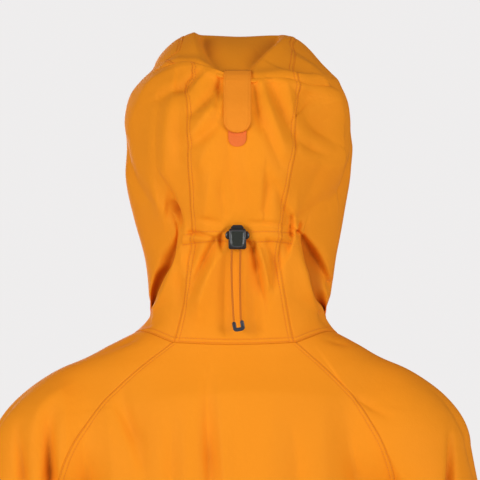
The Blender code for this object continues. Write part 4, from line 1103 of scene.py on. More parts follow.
def cloth_wall(name, outer, normals, thick, lines, slot="orange_cloth", painted_shade=0):
    """A closed wall between a grid of outer points and the same grid moved in by its thickness. Where
    it is stitched, and how much painted shade the bottoms of its creases get, goes with its points
    for the cloth's colour."""
    rows, columns = outer.shape[:2]
    inner = outer - normals * thick[..., None]
    index = np.arange(rows * columns).reshape(rows, columns)
    quads = grid_faces(index)
    loop = np.concatenate([index[:-1, 0], index[-1, :-1], index[:0:-1, -1], index[0, :0:-1]])
    after, deep = np.roll(loop, -1), rows * columns
    rim = np.stack([after, loop, loop + deep, after + deep], axis=-1)
    points = np.concatenate([outer.reshape(-1, 3), inner.reshape(-1, 3)])
    piece = mesh_piece(name, points, [quads, quads[:, ::-1] + deep, rim], slot=slot)
    for key, values in (("stitch_line", lines), ("painted_shade", painted_shade + 0 * lines)):
        shade = piece.data.attributes.new(key, "FLOAT", "POINT")
        shade.data.foreach_set("value", np.concatenate([values.ravel(), 0 * values.ravel()]))
    return piece


def mirrored(grid):
    """The same grid or normals on the other side, with the columns still in the same sense."""
    return grid[:, ::-1] * (-1, 1, 1)


# %% [markdown]
# ## Thread
# Two rows of topstitching follow the seams of the back and the hood, and one row holds each hem. A bump
# pattern could fake them, but a stitch is a raised thread that catches light. Each is a thin lens with
# fourteen points, laid along a line on the finished cloth, and all of a group make one piece.

# %% Thread
STITCH = (2.3, 0.28, 3.3)  # length and radius of a stitch, and the pitch of a row
STITCH_LIFT = 0.1  # of its thread off the cloth
threads = {}


def offset_line(grid, edge, distance):
    """The line on a grid at a distance from one of its edges: points between the two columns or rows
    that the distance falls between."""
    if edge in ("bottom", "top"):
        grid, edge = np.swapaxes(grid, 0, 1), {"bottom": "first", "top": "last"}[edge]
    if edge == "last":
        grid = grid[:, ::-1]
    run = edge_distance(grid, "first")
    i = np.clip((run < distance).sum(1) - 1, 0, grid.shape[1] - 2)[:, None]
    low, high = np.take_along_axis(run, i, 1), np.take_along_axis(run, i + 1, 1)
    share = (distance - low) / (high - low)
    a, b = (np.take_along_axis(grid, (i + k)[..., None], 1)[:, 0] for k in (0, 1))
    return a + (b - a) * share


def stitch_along(group, line, out):
    """Lays stitches on a line: each is a thin lens of four-sided rings, bowed a little off the cloth."""
    run = np.concatenate([[0], np.cumsum(np.linalg.norm(np.diff(line, axis=0), axis=1))])
    length, radius, pitch = STITCH
    at = np.arange(pitch / 2, run[-1] - pitch / 2, pitch)
    centre = np.stack([np.interp(at, run, line[:, k]) for k in range(3)], axis=-1)
    ahead = unit(np.stack([np.interp(at + 1, run, line[:, k]) for k in range(3)], axis=-1) - centre + 1e-9)
    up = np.stack([np.interp(at, run, out[:, k]) for k in range(3)], axis=-1)
    side = unit(np.cross(ahead, up))
    up = np.cross(side, ahead)
    turn = np.linspace(0, 2 * np.pi, 4, endpoint=False) + np.pi / 4
    shape = [(-0.5, 0, 0)]
    for place, wide, bow in ((-0.32, 0.8, 0.5), (0, 1, 0.9), (0.32, 0.8, 0.5)):
        shape += [(place, wide * np.cos(t), wide * np.sin(t) + bow) for t in turn]
    shape = np.array(shape + [(0.5, 0, 0)]) * (length, radius, radius)
    frames = np.stack([ahead, side, up], axis=1)
    points = centre[:, None] + np.einsum("sk,nkj->nsj", shape, frames) + up[:, None] * STITCH_LIFT
    threads.setdefault(group, []).append(points)


def stitch_edge(group, grid, out, edge, distance):
    """Lays stitches beside an edge of a panel, at a distance from it."""
    stitch_along(group, offset_line(grid, edge, distance), offset_line(out, edge, distance))


def sew(name):
    """Makes one piece of all the stitches of a group."""
    points = np.concatenate(threads[name])
    count, size = points.shape[:2]
    k = np.arange(4)
    n = (k + 1) % 4
    tips = np.concatenate([np.stack([0 * k, 1 + k, 1 + n], -1), np.stack([0 * k + 13, 9 + n, 9 + k], -1)])
    walls = np.concatenate([np.stack([1 + r + k, 5 + r + k, 5 + r + n, 1 + r + n], -1) for r in (0, 4)])
    shift = (np.arange(count) * size)[:, None, None]
    faces = [(tips + shift).reshape(-1, 3), (walls + shift).reshape(-1, 4)]
    piece = mesh_piece(name, points, faces, slot="orange_cloth")
    print(name, count, "stitches")
    return piece


# %% [markdown]
# ## Body and sleeves
# The back, fronts and sleeves are read off the form on fine grids, closer together at seams, then
# creased. Their shared edges get the same creases, because both sides ask the same function.

# %% Rows and columns of the body
SIDE_SPAN = 521.0  # from the hem up to the underarm
RAGLAN_SPAN = 285.0
below = spaced(-SIDE_SPAN, 0, 9.0, 2.0, (-SIDE_SPAN, 20 - SIDE_SPAN)) / SIDE_SPAN
above = spaced(0, RAGLAN_SPAN, 2.7, 0.9, (RAGLAN_SPAN, RAGLAN_SPAN - 6)) / RAGLAN_SPAN
level = np.concatenate([below[:-1], above])
HALF_SPAN = 180.0  # of the back, and of each front
SLEEVE_SPAN = 300.0  # round the sleeve
half = spaced(0, HALF_SPAN, 2.6, 0.7, (HALF_SPAN, HALF_SPAN - 5)) / HALF_SPAN
across_back = np.concatenate([-half[:0:-1], half])
sleeve_lines = (0, 4, SLEEVE_SPAN - 4, SLEEVE_SPAN)
across_sleeve = spaced(0, SLEEVE_SPAN, 3.2, 0.8, sleeve_lines) / SLEEVE_SPAN
across_front = spaced(0, HALF_SPAN, 3.2, 0.8, (0, 4, HALF_SPAN - 8, HALF_SPAN)) / HALF_SPAN
near_neck = ((1 - np.clip(level, 0, 1)) * RAGLAN_SPAN)[:, None]


# %% How a body panel is made


def body_panel(name, grid, gap, seams, stitched, hems, beside_zip=False):
    """Creases a body grid, adds its seams' relief, and makes its wall and its rows of stitches."""
    above_arm = (level > 0)[:, None, None]
    normals = np.where(above_arm, slope_of(form_gap, grid), slope_of(gap, grid))
    grid = leaned(grid)
    fade = soft_step(near_neck, 2, 26)
    if beside_zip:
        fade = fade * soft_step(np.abs(grid[..., 0]), ZIP_EDGE + 8, ZIP_EDGE + 50)
    shaped, depth = creased(grid, normals, fade)
    height, lines, thick = relief(shaped, seams, stitched, hems)
    outer = shaped + normals * height[..., None]
    # The cloth's colour gets painted shade at the bottoms of its creases.
    cloth_wall(name, outer, normals, thick, lines, painted_shade=painted_crease_shade(depth))
    out = grid_normals(outer)
    high = level > 0
    for edge in stitched:
        rows = high if edge in ("first", "last") else slice(None)
        for distance in STITCH_ROWS:
            stitch_edge("stitching_body", outer[rows], out[rows], edge, distance)
    for edge, width in hems:
        stitch_edge("stitching_body", outer, out, edge, width - HEM_STITCH)


# %% Back, fronts and sleeves
ALL_SEAMS = ("first", "last", "top")
LOWER_HEM = ("bottom", HEM_WIDE)
ZIP_HEM_WIDE = 8
back_form = back_grid(level, across_back)
body_panel("back_panel", back_form, torso_gap, ALL_SEAMS, ("first", "last"), [LOWER_HEM])
front_form, sleeve_form = front_grid(level, across_front), sleeve_grid(level, across_sleeve)
for side, turn in (("left", np.array), ("right", mirrored)):
    seam, zip_edge = ("first", "last") if side == "left" else ("last", "first")
    hems = [LOWER_HEM, (zip_edge, ZIP_HEM_WIDE)]
    body_panel(f"front_{side}_panel", turn(front_form), torso_gap, (seam, "top"), (seam,), hems, True)
    body_panel(f"sleeve_{side}_panel", turn(sleeve_form), arm_gap, ALL_SEAMS, (), [LOWER_HEM])
print("body rows", len(level), "back columns", len(across_back))

# %% [markdown]
# ## The hood's panels
# The hood is one grid from the neck seam to the brow, cut along its two seams. The tab pulls the crown
# back into a tuck: a lip of cloth that is moved out and then slides down over the hollow under it.

# %% Rows and columns of the hood
PLEAT_V = 0.47  # column that follows the edge of the pleat below each end of the drawcord's channel
rows = spaced(0, BROW_U, 2.3, 0.7, (0, 6, *CHANNEL, RIDGE_U - 7, RIDGE_U - 3, RIDGE_U + 2, BROW_U))
SIDE_SPREAD, CENTRE_SPREAD = 178, 92  # across a side panel and half of the centre panel
pleat_mm = (PLEAT_V - SEAM_V) * ACROSS_MM
side_share = spaced(0, SIDE_SPREAD, 1.6, 0.5, (0, pleat_mm + 0.5, SIDE_SPREAD)) / SIDE_SPREAD
side_v = SEAM_V + side_share * (1 - SEAM_V)
centre_v = spaced(0, CENTRE_SPREAD, 2.0, 0.7, (CENTRE_SPREAD, CENTRE_SPREAD - 5)) / CENTRE_SPREAD * SEAM_V
half_v = np.concatenate([centre_v[:-1], side_v])
all_v = np.concatenate([-half_v[:0:-1], half_v])
print("hood rows", len(rows), "columns", len(all_v))

# %% Seams and tuck of the hood


def seam_drift(row, v):
    """How far places across the hood move with its seams: fully at a seam, less away from it."""
    side = np.abs(v)
    share = soft_step(side, 0, SEAM_V) - soft_step(side, SEAM_V, SEAM_V + 0.3)
    drift = np.where(v > 0, along(SEAM_SLIDE, "left", row), -along(SEAM_SLIDE, "right", row))
    return v + share * drift / ACROSS_MM


def tucked(grid, normals, above, v):
    """The tuck: just over its ridge the crown rolls outwards and down, and the cloth under it runs back
    and up into the shade of the lip."""
    flat = unit(normals * (0.35, 1, 0))
    out, under = along(RIDGE, "out", v), along(RIDGE, "under", v)
    lip = np.where(above > 1, hill(above - 1, 9), hill(above - 1, 2.6))
    push = out * lip + out / 5 * (TUCK_PUSH * hill(above + 3, 16) - 3 * hill(above + 5, 3))
    rise = under * (0.5 * hill(above + 5.5, 3) - hill(above - 1, 4))
    return grid + flat * push[..., None] + rise[..., None] * np.array((0, 0, 1))


# %% [markdown]
# ## Pleats
# The tightened drawcord gathers the hood, so below each end of its channel the side panel folds in
# behind the centre panel. Bending the whole grid would blunt such a fold. One column of the grid runs
# down its edge instead, and the cloth beyond that column moves back at once.

# %% Pleats beside the ends of the drawcord's channel
PLEATS = table(  # where each edge lies, how deep the cloth beyond it runs in, over what width, and
    # how far it then bulges out again
    "row left_v left_deep left_width left_bulge right_v right_deep right_width right_bulge",
    (0, 0.66, 0, 16, 0, 0.66, 0, 18, 0),
    (14, 0.62, 4, 14, 1, 0.63, 4, 16, 0),
    (28, 0.583, 16, 14, 4, 0.590, 20, 9, 2),
    (38, 0.556, 22, 16, 6, 0.555, 26, 11, 4),
    (48, 0.533, 26, 18, 8, 0.505, 26, 14, 5),
    (58, 0.513, 28, 20, 8, 0.482, 22, 20, 8),
    (70, 0.487, 30, 22, 9, 0.473, 18, 24, 9),
    (82, 0.456, 30, 22, 9, 0.473, 14, 25, 9),
    (92, 0.420, 26, 18, 7, 0.466, 13, 22, 8),
    (102, 0.412, 22, 15, 6, 0.461, 12, 18, 7),
    (112, 0.412, 17, 9, 4, 0.456, 11, 10, 4),
    (122, 0.410, 12, 4.5, 2, 0.447, 8, 5, 2),
    (134, 0.408, 8, 3, 0, 0.445, 4, 4, 0),
    (146, 0.420, 2, 4, 0, 0.450, 1, 4, 0),
    (160, 0.445, 0, 4, 0, 0.460, 0, 4, 0),
    (174, 0.464, 0, 4, 0, 0.466, 0, 4, 0),
    (200, 0.470, 0, 4, 0, 0.470, 0, 4, 0),
    (230, 0.470, 0, 4, 0, 0.470, 0, 4, 0),
    (578, 0.470, 0, 4, 0, 0.470, 0, 4, 0),
)


def pleat(key, row, v):
    """A measurement of the pleat on the side that v lies on."""
    return np.where(v > 0, along(PLEATS, "left_" + key, row), along(PLEATS, "right_" + key, row))


def pleat_drift(row, v):
    """Moves the columns about the pleats' edges, so that each edge runs along one column."""
    side = np.abs(v)
    share = soft_step(side, SEAM_V, PLEAT_V) - soft_step(side, PLEAT_V, PLEAT_V + 0.3)
    return v + np.sign(v) * share * (pleat("v", row, v) - PLEAT_V)


def pleated(row, column_v):
    """How far back the pleats move the cloth: beyond an edge it runs in under it at once, comes out
    again over the pleat's width, and bulges further on."""
    beyond = (np.abs(column_v) - PLEAT_V) * ACROSS_MM
    deep, width, bulge = (pleat(key, row, column_v) for key in ("deep", "width", "bulge"))
    turned = soft_step(beyond, -0.5, 1.5)
    fall = turned * np.exp(-((np.maximum(beyond, 0) / width) ** 1.5))
    lip = hill(np.minimum(beyond, 0), 7) * (1 - turned)
    return np.minimum(deep, 12) * 0.12 * lip - deep * fall + bulge * hill(beyond - 26, 12)


# %% Hood surface


def hood_surface(row, column_v):
    """The hood's outside without seams: form, tuck, pleats, channel and creases; and the painted shade
    at the bottoms of its creases and pleats.
    """
    v = seam_drift(row, pleat_drift(row, column_v))
    grid = leaned(hood_form(row, v, neck_seam(v[0])))
    grid = tucked(grid, grid_normals(grid), row - RIDGE_U, v)
    normals = grid_normals(grid)
    pleats = pleated(row, column_v)[..., None] * np.array((0, 1, 0))
    band = soft_step(row, CHANNEL[0], CHANNEL[0] + 1.5) - soft_step(row, CHANNEL[1] - 1.5, CHANNEL[1])
    ends = 1 - soft_step(np.abs(v), CHANNEL_END_V - 0.02, CHANNEL_END_V)
    middle = sum(CHANNEL) / 2
    channel = (0.9 * band + 1.6 * hill(row - middle, 3.6)) * ends
    tuck = hill(row - RIDGE_U + 3, 5) * along(RIDGE, "out", v) / 5
    shaped, depth = creased(grid, normals, soft_step(row, 1, 14) * (1 - tuck))
    # Painted shade for the cloth's colour, deepest at the bottoms of creases and pleats.
    painted_shade = painted_crease_shade(depth - pleats[..., 1] * 1.1)
    return shaped + normals * channel[..., None] + pleats, painted_shade


hood, hood_painted_shade = hood_surface(rows[:, None], all_v[None])
hood_normals = grid_normals(hood)
print("hood", hood.min((0, 1)).round(1), hood.max((0, 1)).round(1))

# %% Hood panels
right_seam = len(side_v) - 1
left_seam = right_seam + 2 * len(centre_v) - 2
both = ("first", "last")
HOOD_PANELS = {  # columns, seams, stitched seams and the edge at the face opening
    "hood_side_right_panel": (slice(right_seam + 1), ("last", "bottom"), (), "first"),
    "hood_centre_panel": (slice(right_seam, left_seam + 1), (*both, "bottom"), both, None),
    "hood_side_left_panel": (slice(left_seam, None), ("first", "bottom"), (), "last"),
}
hood_outer = {}
for name, (columns, seams, stitched, opening) in HOOD_PANELS.items():
    grid, normals = hood[:, columns], hood_normals[:, columns]
    hems = [(opening, BRIM_WIDE)] if opening else [("top", BRIM_WIDE)]
    height, lines, thick = relief(grid, seams, (*stitched, "bottom"), hems)
    in_channel = np.abs(all_v[columns]) < CHANNEL_END_V
    for line_row in CHANNEL_LINES:
        line = hill(rows[:, None] - line_row, 0.9) * in_channel
        height, lines = height - 0.5 * line, np.maximum(lines, 0.75 * line)
    outer = grid + normals * height[..., None]
    cloth_wall(name, outer, normals, thick, lines, painted_shade=hood_painted_shade[:, columns])
    out = grid_normals(outer)
    for edge in (*stitched, "bottom"):
        for distance in STITCH_ROWS:
            stitch_edge("stitching_hood", outer, out, edge, distance)
    for edge, width in hems:
        stitch_edge("stitching_hood", outer, out, edge, width - HEM_STITCH)
    for line_row in CHANNEL_LINES:
        r = np.abs(rows - line_row).argmin()
        stitch_along("stitching_hood", outer[r, in_channel], out[r, in_channel])
    hood_outer[name] = outer
    print(name, outer.shape)

# %% [markdown]
# ## The tab and its loop patch
# A stitched tab of two layers hangs from the tuck and is pressed onto a round-ended patch of loop tape,
# of which only the end shows. Both lie on the centre panel, so they are made from its points: the patch
# follows it, and the stiffer tab is pulled straight over its hollows.

# %% Where the centre panel lies
PATCH = (262, 220.5, 10, 1.0)  # top, end, half-width and thickness
TAB = (306, 235.5, 15.3, 2.0)
PATCH_GAP = 0.3  # between the panel and the patch
RAYS_FROM = 300.0  # behind the hood
centre_outer = hood_outer["hood_centre_panel"]


def panel_depth(x, z):
    """How far back the centre panel reaches at places seen from behind: rays cast at its mesh."""
    index = np.arange(centre_outer[..., 0].size).reshape(centre_outer.shape[:2])
    quads = grid_faces(index)
    tree = BVHTree.FromPolygons(centre_outer.reshape(-1, 3).tolist(), quads.tolist())
    hits = [tree.ray_cast((a, RAYS_FROM, b), (0, -1, 0))[0] for a, b in zip(x.flat, z.flat)]
    return np.array([hit[1] if hit else np.nan for hit in hits]).reshape(x.shape)


# %% Outlines of the tab and patch


def strip_outline(top, end, half, rows, columns, corner):
    """A strip with a round lower end: its half-width is the superellipse share of the last stretch."""
    z = end + (top - end) * np.linspace(0, 1, rows) ** 1.25
    low = np.clip((z - end) / (half * corner), 0, 1)
    wide = half * (1 - (1 - low) ** 2.2) ** (1 / 2.2)
    wide = np.maximum(wide, 0.6)
    x = wide[:, None] * np.linspace(-1, 1, columns)
    return x, z[:, None] + 0 * x


def pulled_tight(z, y):
    """A profile stretched over its outermost points: each place is the highest chord over it."""
    rise = (y[None] - y[:, None]) / (z[None] - z[:, None] + np.eye(len(z)))
    tight = y.copy()
    for k in range(1, len(z) - 1):
        chord = y[:k, None] + rise[:k, k + 1 :] * (z[k] - z[:k, None])
        tight[k] = max(y[k], chord.max())
    return tight


# %% Loop patch
x, z = strip_outline(*PATCH[:3], 40, 25, 1.0)
on_panel = np.stack([x, panel_depth(x, z), z], axis=-1)
patch_out = grid_normals(on_panel)
patch_outer = on_panel + patch_out * (PATCH[3] + PATCH_GAP)
patch = cloth_wall("loop_patch", patch_outer, patch_out, np.full(x.shape, PATCH[3]), 0 * x, "loop_tape")
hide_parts("tab_loop_patch")

# %% Tab
x, z = strip_outline(*TAB[:3], 90, 41, 1.0)
low_z = z[:, 0]
spine = np.nanmax(panel_depth(np.linspace(-TAB[2], TAB[2], 9) + 0 * low_z[:, None], z[:, :9]), axis=1)
spine = pulled_tight(low_z, spine)
over_patch = (PATCH[3] + PATCH_GAP) * soft_step(-low_z, -PATCH[0] - 30, -PATCH[0])
sunk = -3.0 * soft_step(low_z, TAB[0] - 7, TAB[0])
y = (spine + over_patch + sunk)[:, None] - 0.006 * x**2 * soft_step(low_z, 230, 290)[:, None]
level_tab = np.stack([x, y, z], axis=-1)
tab_out = grid_normals(level_tab)
from_edge = np.minimum(edge_distance(level_tab, "first"), edge_distance(level_tab, "last"))
from_edge = np.minimum(from_edge, edge_distance(level_tab, "bottom"))
tab_line = hill(from_edge - 2.6, 0.8)
height = TAB[3] + 0.6 - 0.9 * hill(from_edge, 0.9) - 0.35 * tab_line + 0.25 * hill(from_edge - 1.4, 0.8)
tab_outer = level_tab + tab_out * height[..., None]
tab = cloth_wall("tab", tab_outer, tab_out, np.full(x.shape, TAB[3]), 0.6 * tab_line, "tab_cloth")
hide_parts("hood_tab")
print("tab", tab_outer.shape, "patch", patch_outer.shape)

# %% Sew the threads and hide the plain cloth solids
STANDS_FOR = {
    "back_panel": "back",
    "front_left_panel": "front_left",
    "front_right_panel": "front_right",
    "sleeve_left_panel": "sleeve_left",
    "sleeve_right_panel": "sleeve_right",
    "hood_side_left_panel": "hood_side_left",
    "hood_side_right_panel": "hood_side_right",
    "hood_centre_panel": "hood_centre",
}
for name, node in STANDS_FOR.items():
    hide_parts(node)
thread_pieces = [sew(name) for name in sorted(threads)]

# %% [markdown]
# ## Flat sizes
# Cloth is cut flat before it is sewn. A table gives each piece the rectangle it is cut from, the area
# of its pattern, how it is held: hung, gathered by the drawcord, or laid on the piece under it, and
# what it rests on. Only the rectangles are printed.

# %% Cut sizes of the cloth
CUTS = (  # piece, width and length it is cut from, its own flat area, how it is held, and on what
    ("back_panel", (0.60, 0.76), 0.366, "hung", ["hood_centre_panel"]),
    ("front_left_panel", (0.31, 0.74), 0.176, "hung", ["hood_side_left_panel"]),
    ("front_right_panel", (0.31, 0.74), 0.176, "hung", ["hood_side_right_panel"]),
    ("sleeve_left_panel", (0.50, 0.76), 0.284, "hung", ["back_panel", "front_left_panel"]),
    ("sleeve_right_panel", (0.50, 0.76), 0.284, "hung", ["back_panel", "front_right_panel"]),
    ("hood_centre_panel", (0.17, 0.60), 0.084, "gathered", ["back_panel"]),
    ("hood_side_left_panel", (0.30, 0.45), 0.106, "gathered", ["front_left_panel"]),
    ("hood_side_right_panel", (0.30, 0.45), 0.106, "gathered", ["front_right_panel"]),
    ("tab", (0.031, 0.094), 0.0028, "laid", ["loop_patch"]),
    ("loop_patch", (0.020, 0.044), 0.0008, "laid", ["hood_centre_panel"]),
)
for name, flat, area, held, rests_on in CUTS:
    print(name, "is cut from", flat)

# %% [markdown]
# ## Shader maths
# A small class wraps a socket, so that a pattern can be written as a sum. Each sign adds a Math node.

# %% Sockets as numbers


class Value:
    """A socket that adds, subtracts, multiplies and divides by making Math nodes."""

    def __init__(self, paint, socket):
        self.paint, self.socket = paint, socket

    def _with(self, operation, *others):
        links = {k: getattr(other, "socket", other) for k, other in enumerate((self, *others))}
        return self.paint.node("ShaderNodeMath", {"operation": operation}, links)

    def __add__(self, other):
        return self._with("ADD", other)

    def __sub__(self, other):
        return self._with("SUBTRACT", other)

    def __rsub__(self, other):
        return self._with("MULTIPLY_ADD", -1.0, other)

    def __mul__(self, other):
        return self._with("MULTIPLY", other)

    __radd__, __rmul__ = __add__, __mul__

    def sine(self):
        return self._with("SINE")

    def or_higher(self, other):
        return self._with("MAXIMUM", other)

    def clamped(self):
        return self._with("MINIMUM", 1.0).or_higher(0.0)


# %% Materials


class Paint:
    """A material whose nodes are made one at a time: type, settings, then the values of its sockets."""

    def __init__(self, name):
        self.material = bpy.data.materials.new(name)
        self.material.use_nodes = True
        self.tree = self.material.node_tree
        self.shader = self.tree.nodes["Principled BSDF"]
        self.place = self.node("ShaderNodeTexCoord", {}, {}, "Object")

    def node(self, kind, settings, links, output=0):
        node = self.tree.nodes.new(kind)
        for key, value in settings.items():
            setattr(node, key, value)
        for key, value in links.items():
            self.feed(node.inputs[key], value)
        return Value(self, node.outputs[output])

    def feed(self, socket, value):
        value = getattr(value, "socket", value)
        if isinstance(value, bpy.types.NodeSocket):
            self.tree.links.new(value, socket)
        else:
            socket.default_value = value

    def noise(self, scale, detail=2.0, roughness=0.5):
        links = {"Vector": self.place, "Scale": scale, "Detail": detail, "Roughness": roughness}
        return self.node("ShaderNodeTexNoise", {}, links, "Fac")

    def attribute(self, name):
        return self.node("ShaderNodeAttribute", {"attribute_name": name}, {}, "Fac")

    def mix(self, share, first, second):
        links = {0: share, 6: first, 7: second}
        return self.node("ShaderNodeMix", {"data_type": "RGBA", "clamp_factor": True}, links, 2)

    def bump(self, height, distance, strength=1.0, normal=None):
        links = {"Height": height, "Distance": distance, "Strength": strength}
        if normal:
            links["Normal"] = normal
        return self.node("ShaderNodeBump", {}, links, "Normal")

    def set(self, **values):
        for key, value in values.items():
            self.feed(self.shader.inputs[key.replace("_", " ")], value)
        return self.material


def rgb(red, green, blue):
    """An opaque colour from its shares of red, green and blue light."""
    return (red, green, blue, 1.0)


def dress(material, *pieces):
    """Gives pieces one material, in place of what they came with."""
    for piece in pieces:
        piece.data.materials.clear()
        piece.data.materials.append(material)


# %% [markdown]
# ## Coated cloth
# The jacket's cloth has a thin satin skin of coloured rubber: the colour is deep and even, gloss is
# broad, and only a fine grain breaks it. Stitching lines are a little darker, because thread and
# needle holes draw the skin in. The bottoms of deep creases and pleats get painted shade: a darker,
# redder orange mixed into the colour.

# %% Orange cloth, tab and loop tape
ORANGE = rgb(0.92, 0.292, 0.010)
ORANGE_DEEP = rgb(0.88, 0.262, 0.007)
# The darker, redder orange of the painted shade at the bottoms of creases and pleats.
SHADED = rgb(0.50, 0.11, 0.003)
THREAD = rgb(0.74, 0.19, 0.008)
CLOTH_ROUGH = 0.68


def coated_cloth(name, base, deep):
    """A cloudy mix of two oranges with a fine grain, darker along stitching, and painted shade in creases.
    """
    paint = Paint(name)
    cloudy = paint.noise(9.0, 3.0)
    grain = paint.noise(900.0, 2.0)
    pulled = paint.attribute("stitch_line")
    colour = paint.mix((cloudy - 0.35) * 0.7, base, deep)
    # Painted shade: deep creases and pleats are mixed towards the darker orange.
    colour = paint.mix(paint.attribute("painted_shade") * 0.7, colour, SHADED)
    colour = paint.mix(pulled * 0.45, colour, THREAD)
    bumpy = paint.bump(paint.noise(170.0, 3.0), 0.0004, 0.5)
    bumpy = paint.bump(grain, 0.00012, 0.5, bumpy)
    rough = (grain - 0.5) * 0.12 + pulled * 0.08 + CLOTH_ROUGH
    return paint.set(Base_Color=colour, Roughness=rough, Specular_IOR_Level=0.13, Normal=bumpy)


cloth = coated_cloth("orange_coated_cloth", ORANGE, ORANGE_DEEP)
dress(cloth, *(bpy.data.objects[name] for name in STANDS_FOR))
dress(coated_cloth("tab_coated_cloth", rgb(0.88, 0.27, 0.016), rgb(0.82, 0.235, 0.012)), tab)

thread = Paint("orange_thread")
twist = thread.noise(2600.0, 1.0)
colour = thread.mix(twist, rgb(0.78, 0.21, 0.012), THREAD)
dress(thread.set(Base_Color=colour, Roughness=0.55), *thread_pieces)

loop = Paint("loop_tape_pile")
pile = loop.noise(1500.0, 3.0, 0.7)
colour = loop.mix(pile, rgb(0.80, 0.13, 0.015), rgb(0.98, 0.22, 0.035))
dress(loop.set(Base_Color=colour, Roughness=0.9, Normal=loop.bump(pile, 0.0006)), patch)

# %% [markdown]
# ## Cord, plastic, zip and metal
# The cord is a tight braid, the lock and clip are moulded plastic with a fine spark-eroded grain, and
# the slider is painted metal.

# %% Hard finishes
braid = Paint("braided_cord")
turns = braid.node("ShaderNodeUVMap", {"uv_map": "UVMap"}, {}, "UV")
around = braid.node("ShaderNodeSeparateXYZ", {}, {0: turns})
up_cord = Value(braid, around.socket.node.outputs["Y"])
one_way = ((around * 2 + up_cord) * math.tau).sine()
other_way = ((around * 2 - up_cord) * math.tau).sine()
strands = (one_way.or_higher(other_way) * 0.5 + 0.5).clamped()
fuzz = braid.noise(3000.0, 2.0)
colour = braid.mix(strands * 0.8 + fuzz * 0.2, rgb(0.44, 0.105, 0.010), rgb(0.70, 0.20, 0.02))
bumpy = braid.bump(strands, 0.0002)
dress(braid.set(Base_Color=colour, Roughness=0.85, Specular_IOR_Level=0.15, Normal=bumpy), *cord_pieces)

SPARK_GRAIN = 1400.0  # of a spark-eroded mould
GRAIN_DEEP = 0.00008


def moulded(name, base, worn, rough, grain_size=SPARK_GRAIN):
    """A moulded or painted finish: one colour that is rubbed to another in patches, and a fine grain."""
    paint = Paint(name)
    grain = paint.noise(grain_size, 3.0, 0.6)
    rubbed = (paint.noise(130.0, 2.0) - 0.45) * 2.2
    colour = paint.mix(rubbed, base, worn)
    rough = (grain - 0.5) * 0.2 + rough
    return paint.set(Base_Color=colour, Roughness=rough, Normal=paint.bump(grain, GRAIN_DEEP))


# %% Lock, clip and zip
black = moulded("black_lock_plastic", rgb(0.006, 0.005, 0.006), rgb(0.012, 0.011, 0.012), 0.3)
dress(black, lock, nodes["cord_lock_button"])
plate_paint = Paint("lock_face_plastic")
grain = plate_paint.noise(SPARK_GRAIN, 3.0, 0.6)
# Rim lighter than the pad: a painted highlight for the light that the rim's bevelled edge catches.
colour = plate_paint.mix(plate_paint.attribute("pad"), rgb(0.045, 0.048, 0.055), rgb(0.014, 0.017, 0.011))
colour = plate_paint.mix(grain * 0.3, colour, rgb(0.03, 0.034, 0.03))
bumpy = plate_paint.bump(grain, GRAIN_DEEP)
dress(plate_paint.set(Base_Color=colour, Roughness=grain * 0.12 + 0.2, Normal=bumpy), face_plate)
dress(moulded("clip_plastic", rgb(0.018, 0.020, 0.030), rgb(0.055, 0.062, 0.092), 0.3), clip)
dress(moulded("zip_teeth_plastic", rgb(0.62, 0.17, 0.02), rgb(0.72, 0.21, 0.025), 0.4), nodes["zip_chain"])
tape = moulded("zip_tape_weave", rgb(0.70, 0.20, 0.02), rgb(0.80, 0.25, 0.03), 0.8)
dress(tape, nodes["zip_tape_left"], nodes["zip_tape_right"])
metal = moulded("black_painted_metal", rgb(0.022, 0.022, 0.024), rgb(0.045, 0.045, 0.048), 0.32, 700.0)
dress(metal, nodes["zip_slider"], nodes["zip_pull"])
print("materials", sorted(material.name for material in bpy.data.materials))

# %% [markdown]
# ## Floor and light
# A plain pale floor lies under the hem. Soft boxes stand to both sides of the camera, a weak one
# lights the front, and a pale sky fills the shadows from all round.

# %% Floor
FLOOR_Z = -790.0
FLOOR_RADIUS = 5800.0
turn = np.linspace(0, 2 * np.pi, 96, endpoint=False)
rim = np.stack([np.cos(turn), np.sin(turn), 0 * turn], axis=-1) * FLOOR_RADIUS
floor_mesh = bpy.data.meshes.new("floor")
floor_mesh.from_pydata(((rim + (0, 0, FLOOR_Z)) * MM).tolist(), [], [list(range(len(turn)))])
floor = bpy.data.objects.new("floor", floor_mesh)
bpy.context.scene.collection.objects.link(floor)
floor_paint = Paint("pale_floor")
speck = floor_paint.noise(6.0, 3.0)
colour = floor_paint.mix(speck, rgb(0.78, 0.77, 0.76), rgb(0.82, 0.81, 0.80))
dress(floor_paint.set(Base_Color=colour, Roughness=1.0, Specular_IOR_Level=0.0), floor)
floor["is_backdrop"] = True
print("floor at", FLOOR_Z, "mm")

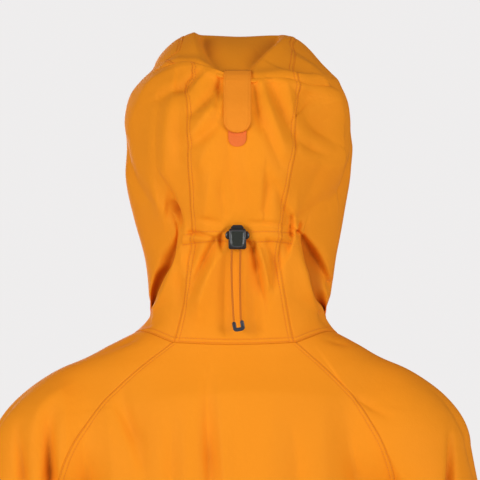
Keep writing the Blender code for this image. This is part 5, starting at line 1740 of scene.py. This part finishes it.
# %% Soft boxes
BOX_SIZE = 1.9
SOFT_BOXES = (  # watts, and place in metres
    ("left", 84.0, (3.1, 3.3, 0.7)),
    ("right", 71.0, (-3.1, 3.3, 0.7)),
    ("front", 70.0, (0.6, -3.6, 0.3)),
)
LIT_PLACE = Vector((0, 0, 0.1))
for side, power, place in SOFT_BOXES:
    box_light = bpy.data.lights.new(f"soft_box_{side}", "AREA")
    box_light.energy, box_light.size = power, BOX_SIZE
    lamp = bpy.data.objects.new(f"soft_box_{side}", box_light)
    lamp.location = place
    lamp.rotation_euler = (LIT_PLACE - Vector(place)).to_track_quat("-Z", "Y").to_euler()
    lamp.visible_camera = False
    bpy.context.scene.collection.objects.link(lamp)
    print("soft box", side, power, "W")

# %% Sky
SKY_LIGHT = (0.08, 0.49)  # ahead of the jacket's front, and behind its back
BACKDROP = 0.86
world = bpy.data.worlds.new("sky")
bpy.context.scene.world = world
world.use_nodes = True
sky = world.node_tree
sky.nodes.clear()
ray = sky.nodes.new("ShaderNodeLightPath")
lit, shown = sky.nodes.new("ShaderNodeBackground"), sky.nodes.new("ShaderNodeBackground")
lit.inputs["Color"].default_value = rgb(1.0, 0.99, 0.98)
way = sky.nodes.new("ShaderNodeTexCoord")
split, rise = sky.nodes.new("ShaderNodeSeparateXYZ"), sky.nodes.new("ShaderNodeMapRange")
rise.interpolation_type = "SMOOTHSTEP"
for name, value in zip(("From Min", "From Max", "To Min", "To Max"), (-0.9, 0.6, *SKY_LIGHT)):
    rise.inputs[name].default_value = value
sky.links.new(way.outputs["Generated"], split.inputs[0])
sky.links.new(split.outputs["Y"], rise.inputs["Value"])
sky.links.new(rise.outputs[0], lit.inputs["Strength"])
shown.inputs["Color"].default_value = rgb(1.0, 0.985, 0.985)
shown.inputs["Strength"].default_value = BACKDROP
choice, out = sky.nodes.new("ShaderNodeMixShader"), sky.nodes.new("ShaderNodeOutputWorld")
sky.links.new(ray.outputs["Is Camera Ray"], choice.inputs[0])
sky.links.new(lit.outputs[0], choice.inputs[1])
sky.links.new(shown.outputs[0], choice.inputs[2])
sky.links.new(choice.outputs[0], out.inputs["Surface"])
bpy.context.scene.view_settings.view_transform = "Standard"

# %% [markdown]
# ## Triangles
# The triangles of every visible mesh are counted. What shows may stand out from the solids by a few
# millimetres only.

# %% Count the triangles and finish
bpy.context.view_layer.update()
visible = [piece.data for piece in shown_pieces() if piece.type == "MESH" and not piece.hide_render]
print("triangles", sum(len(mesh.loops) - 2 * len(mesh.polygons) for mesh in visible))
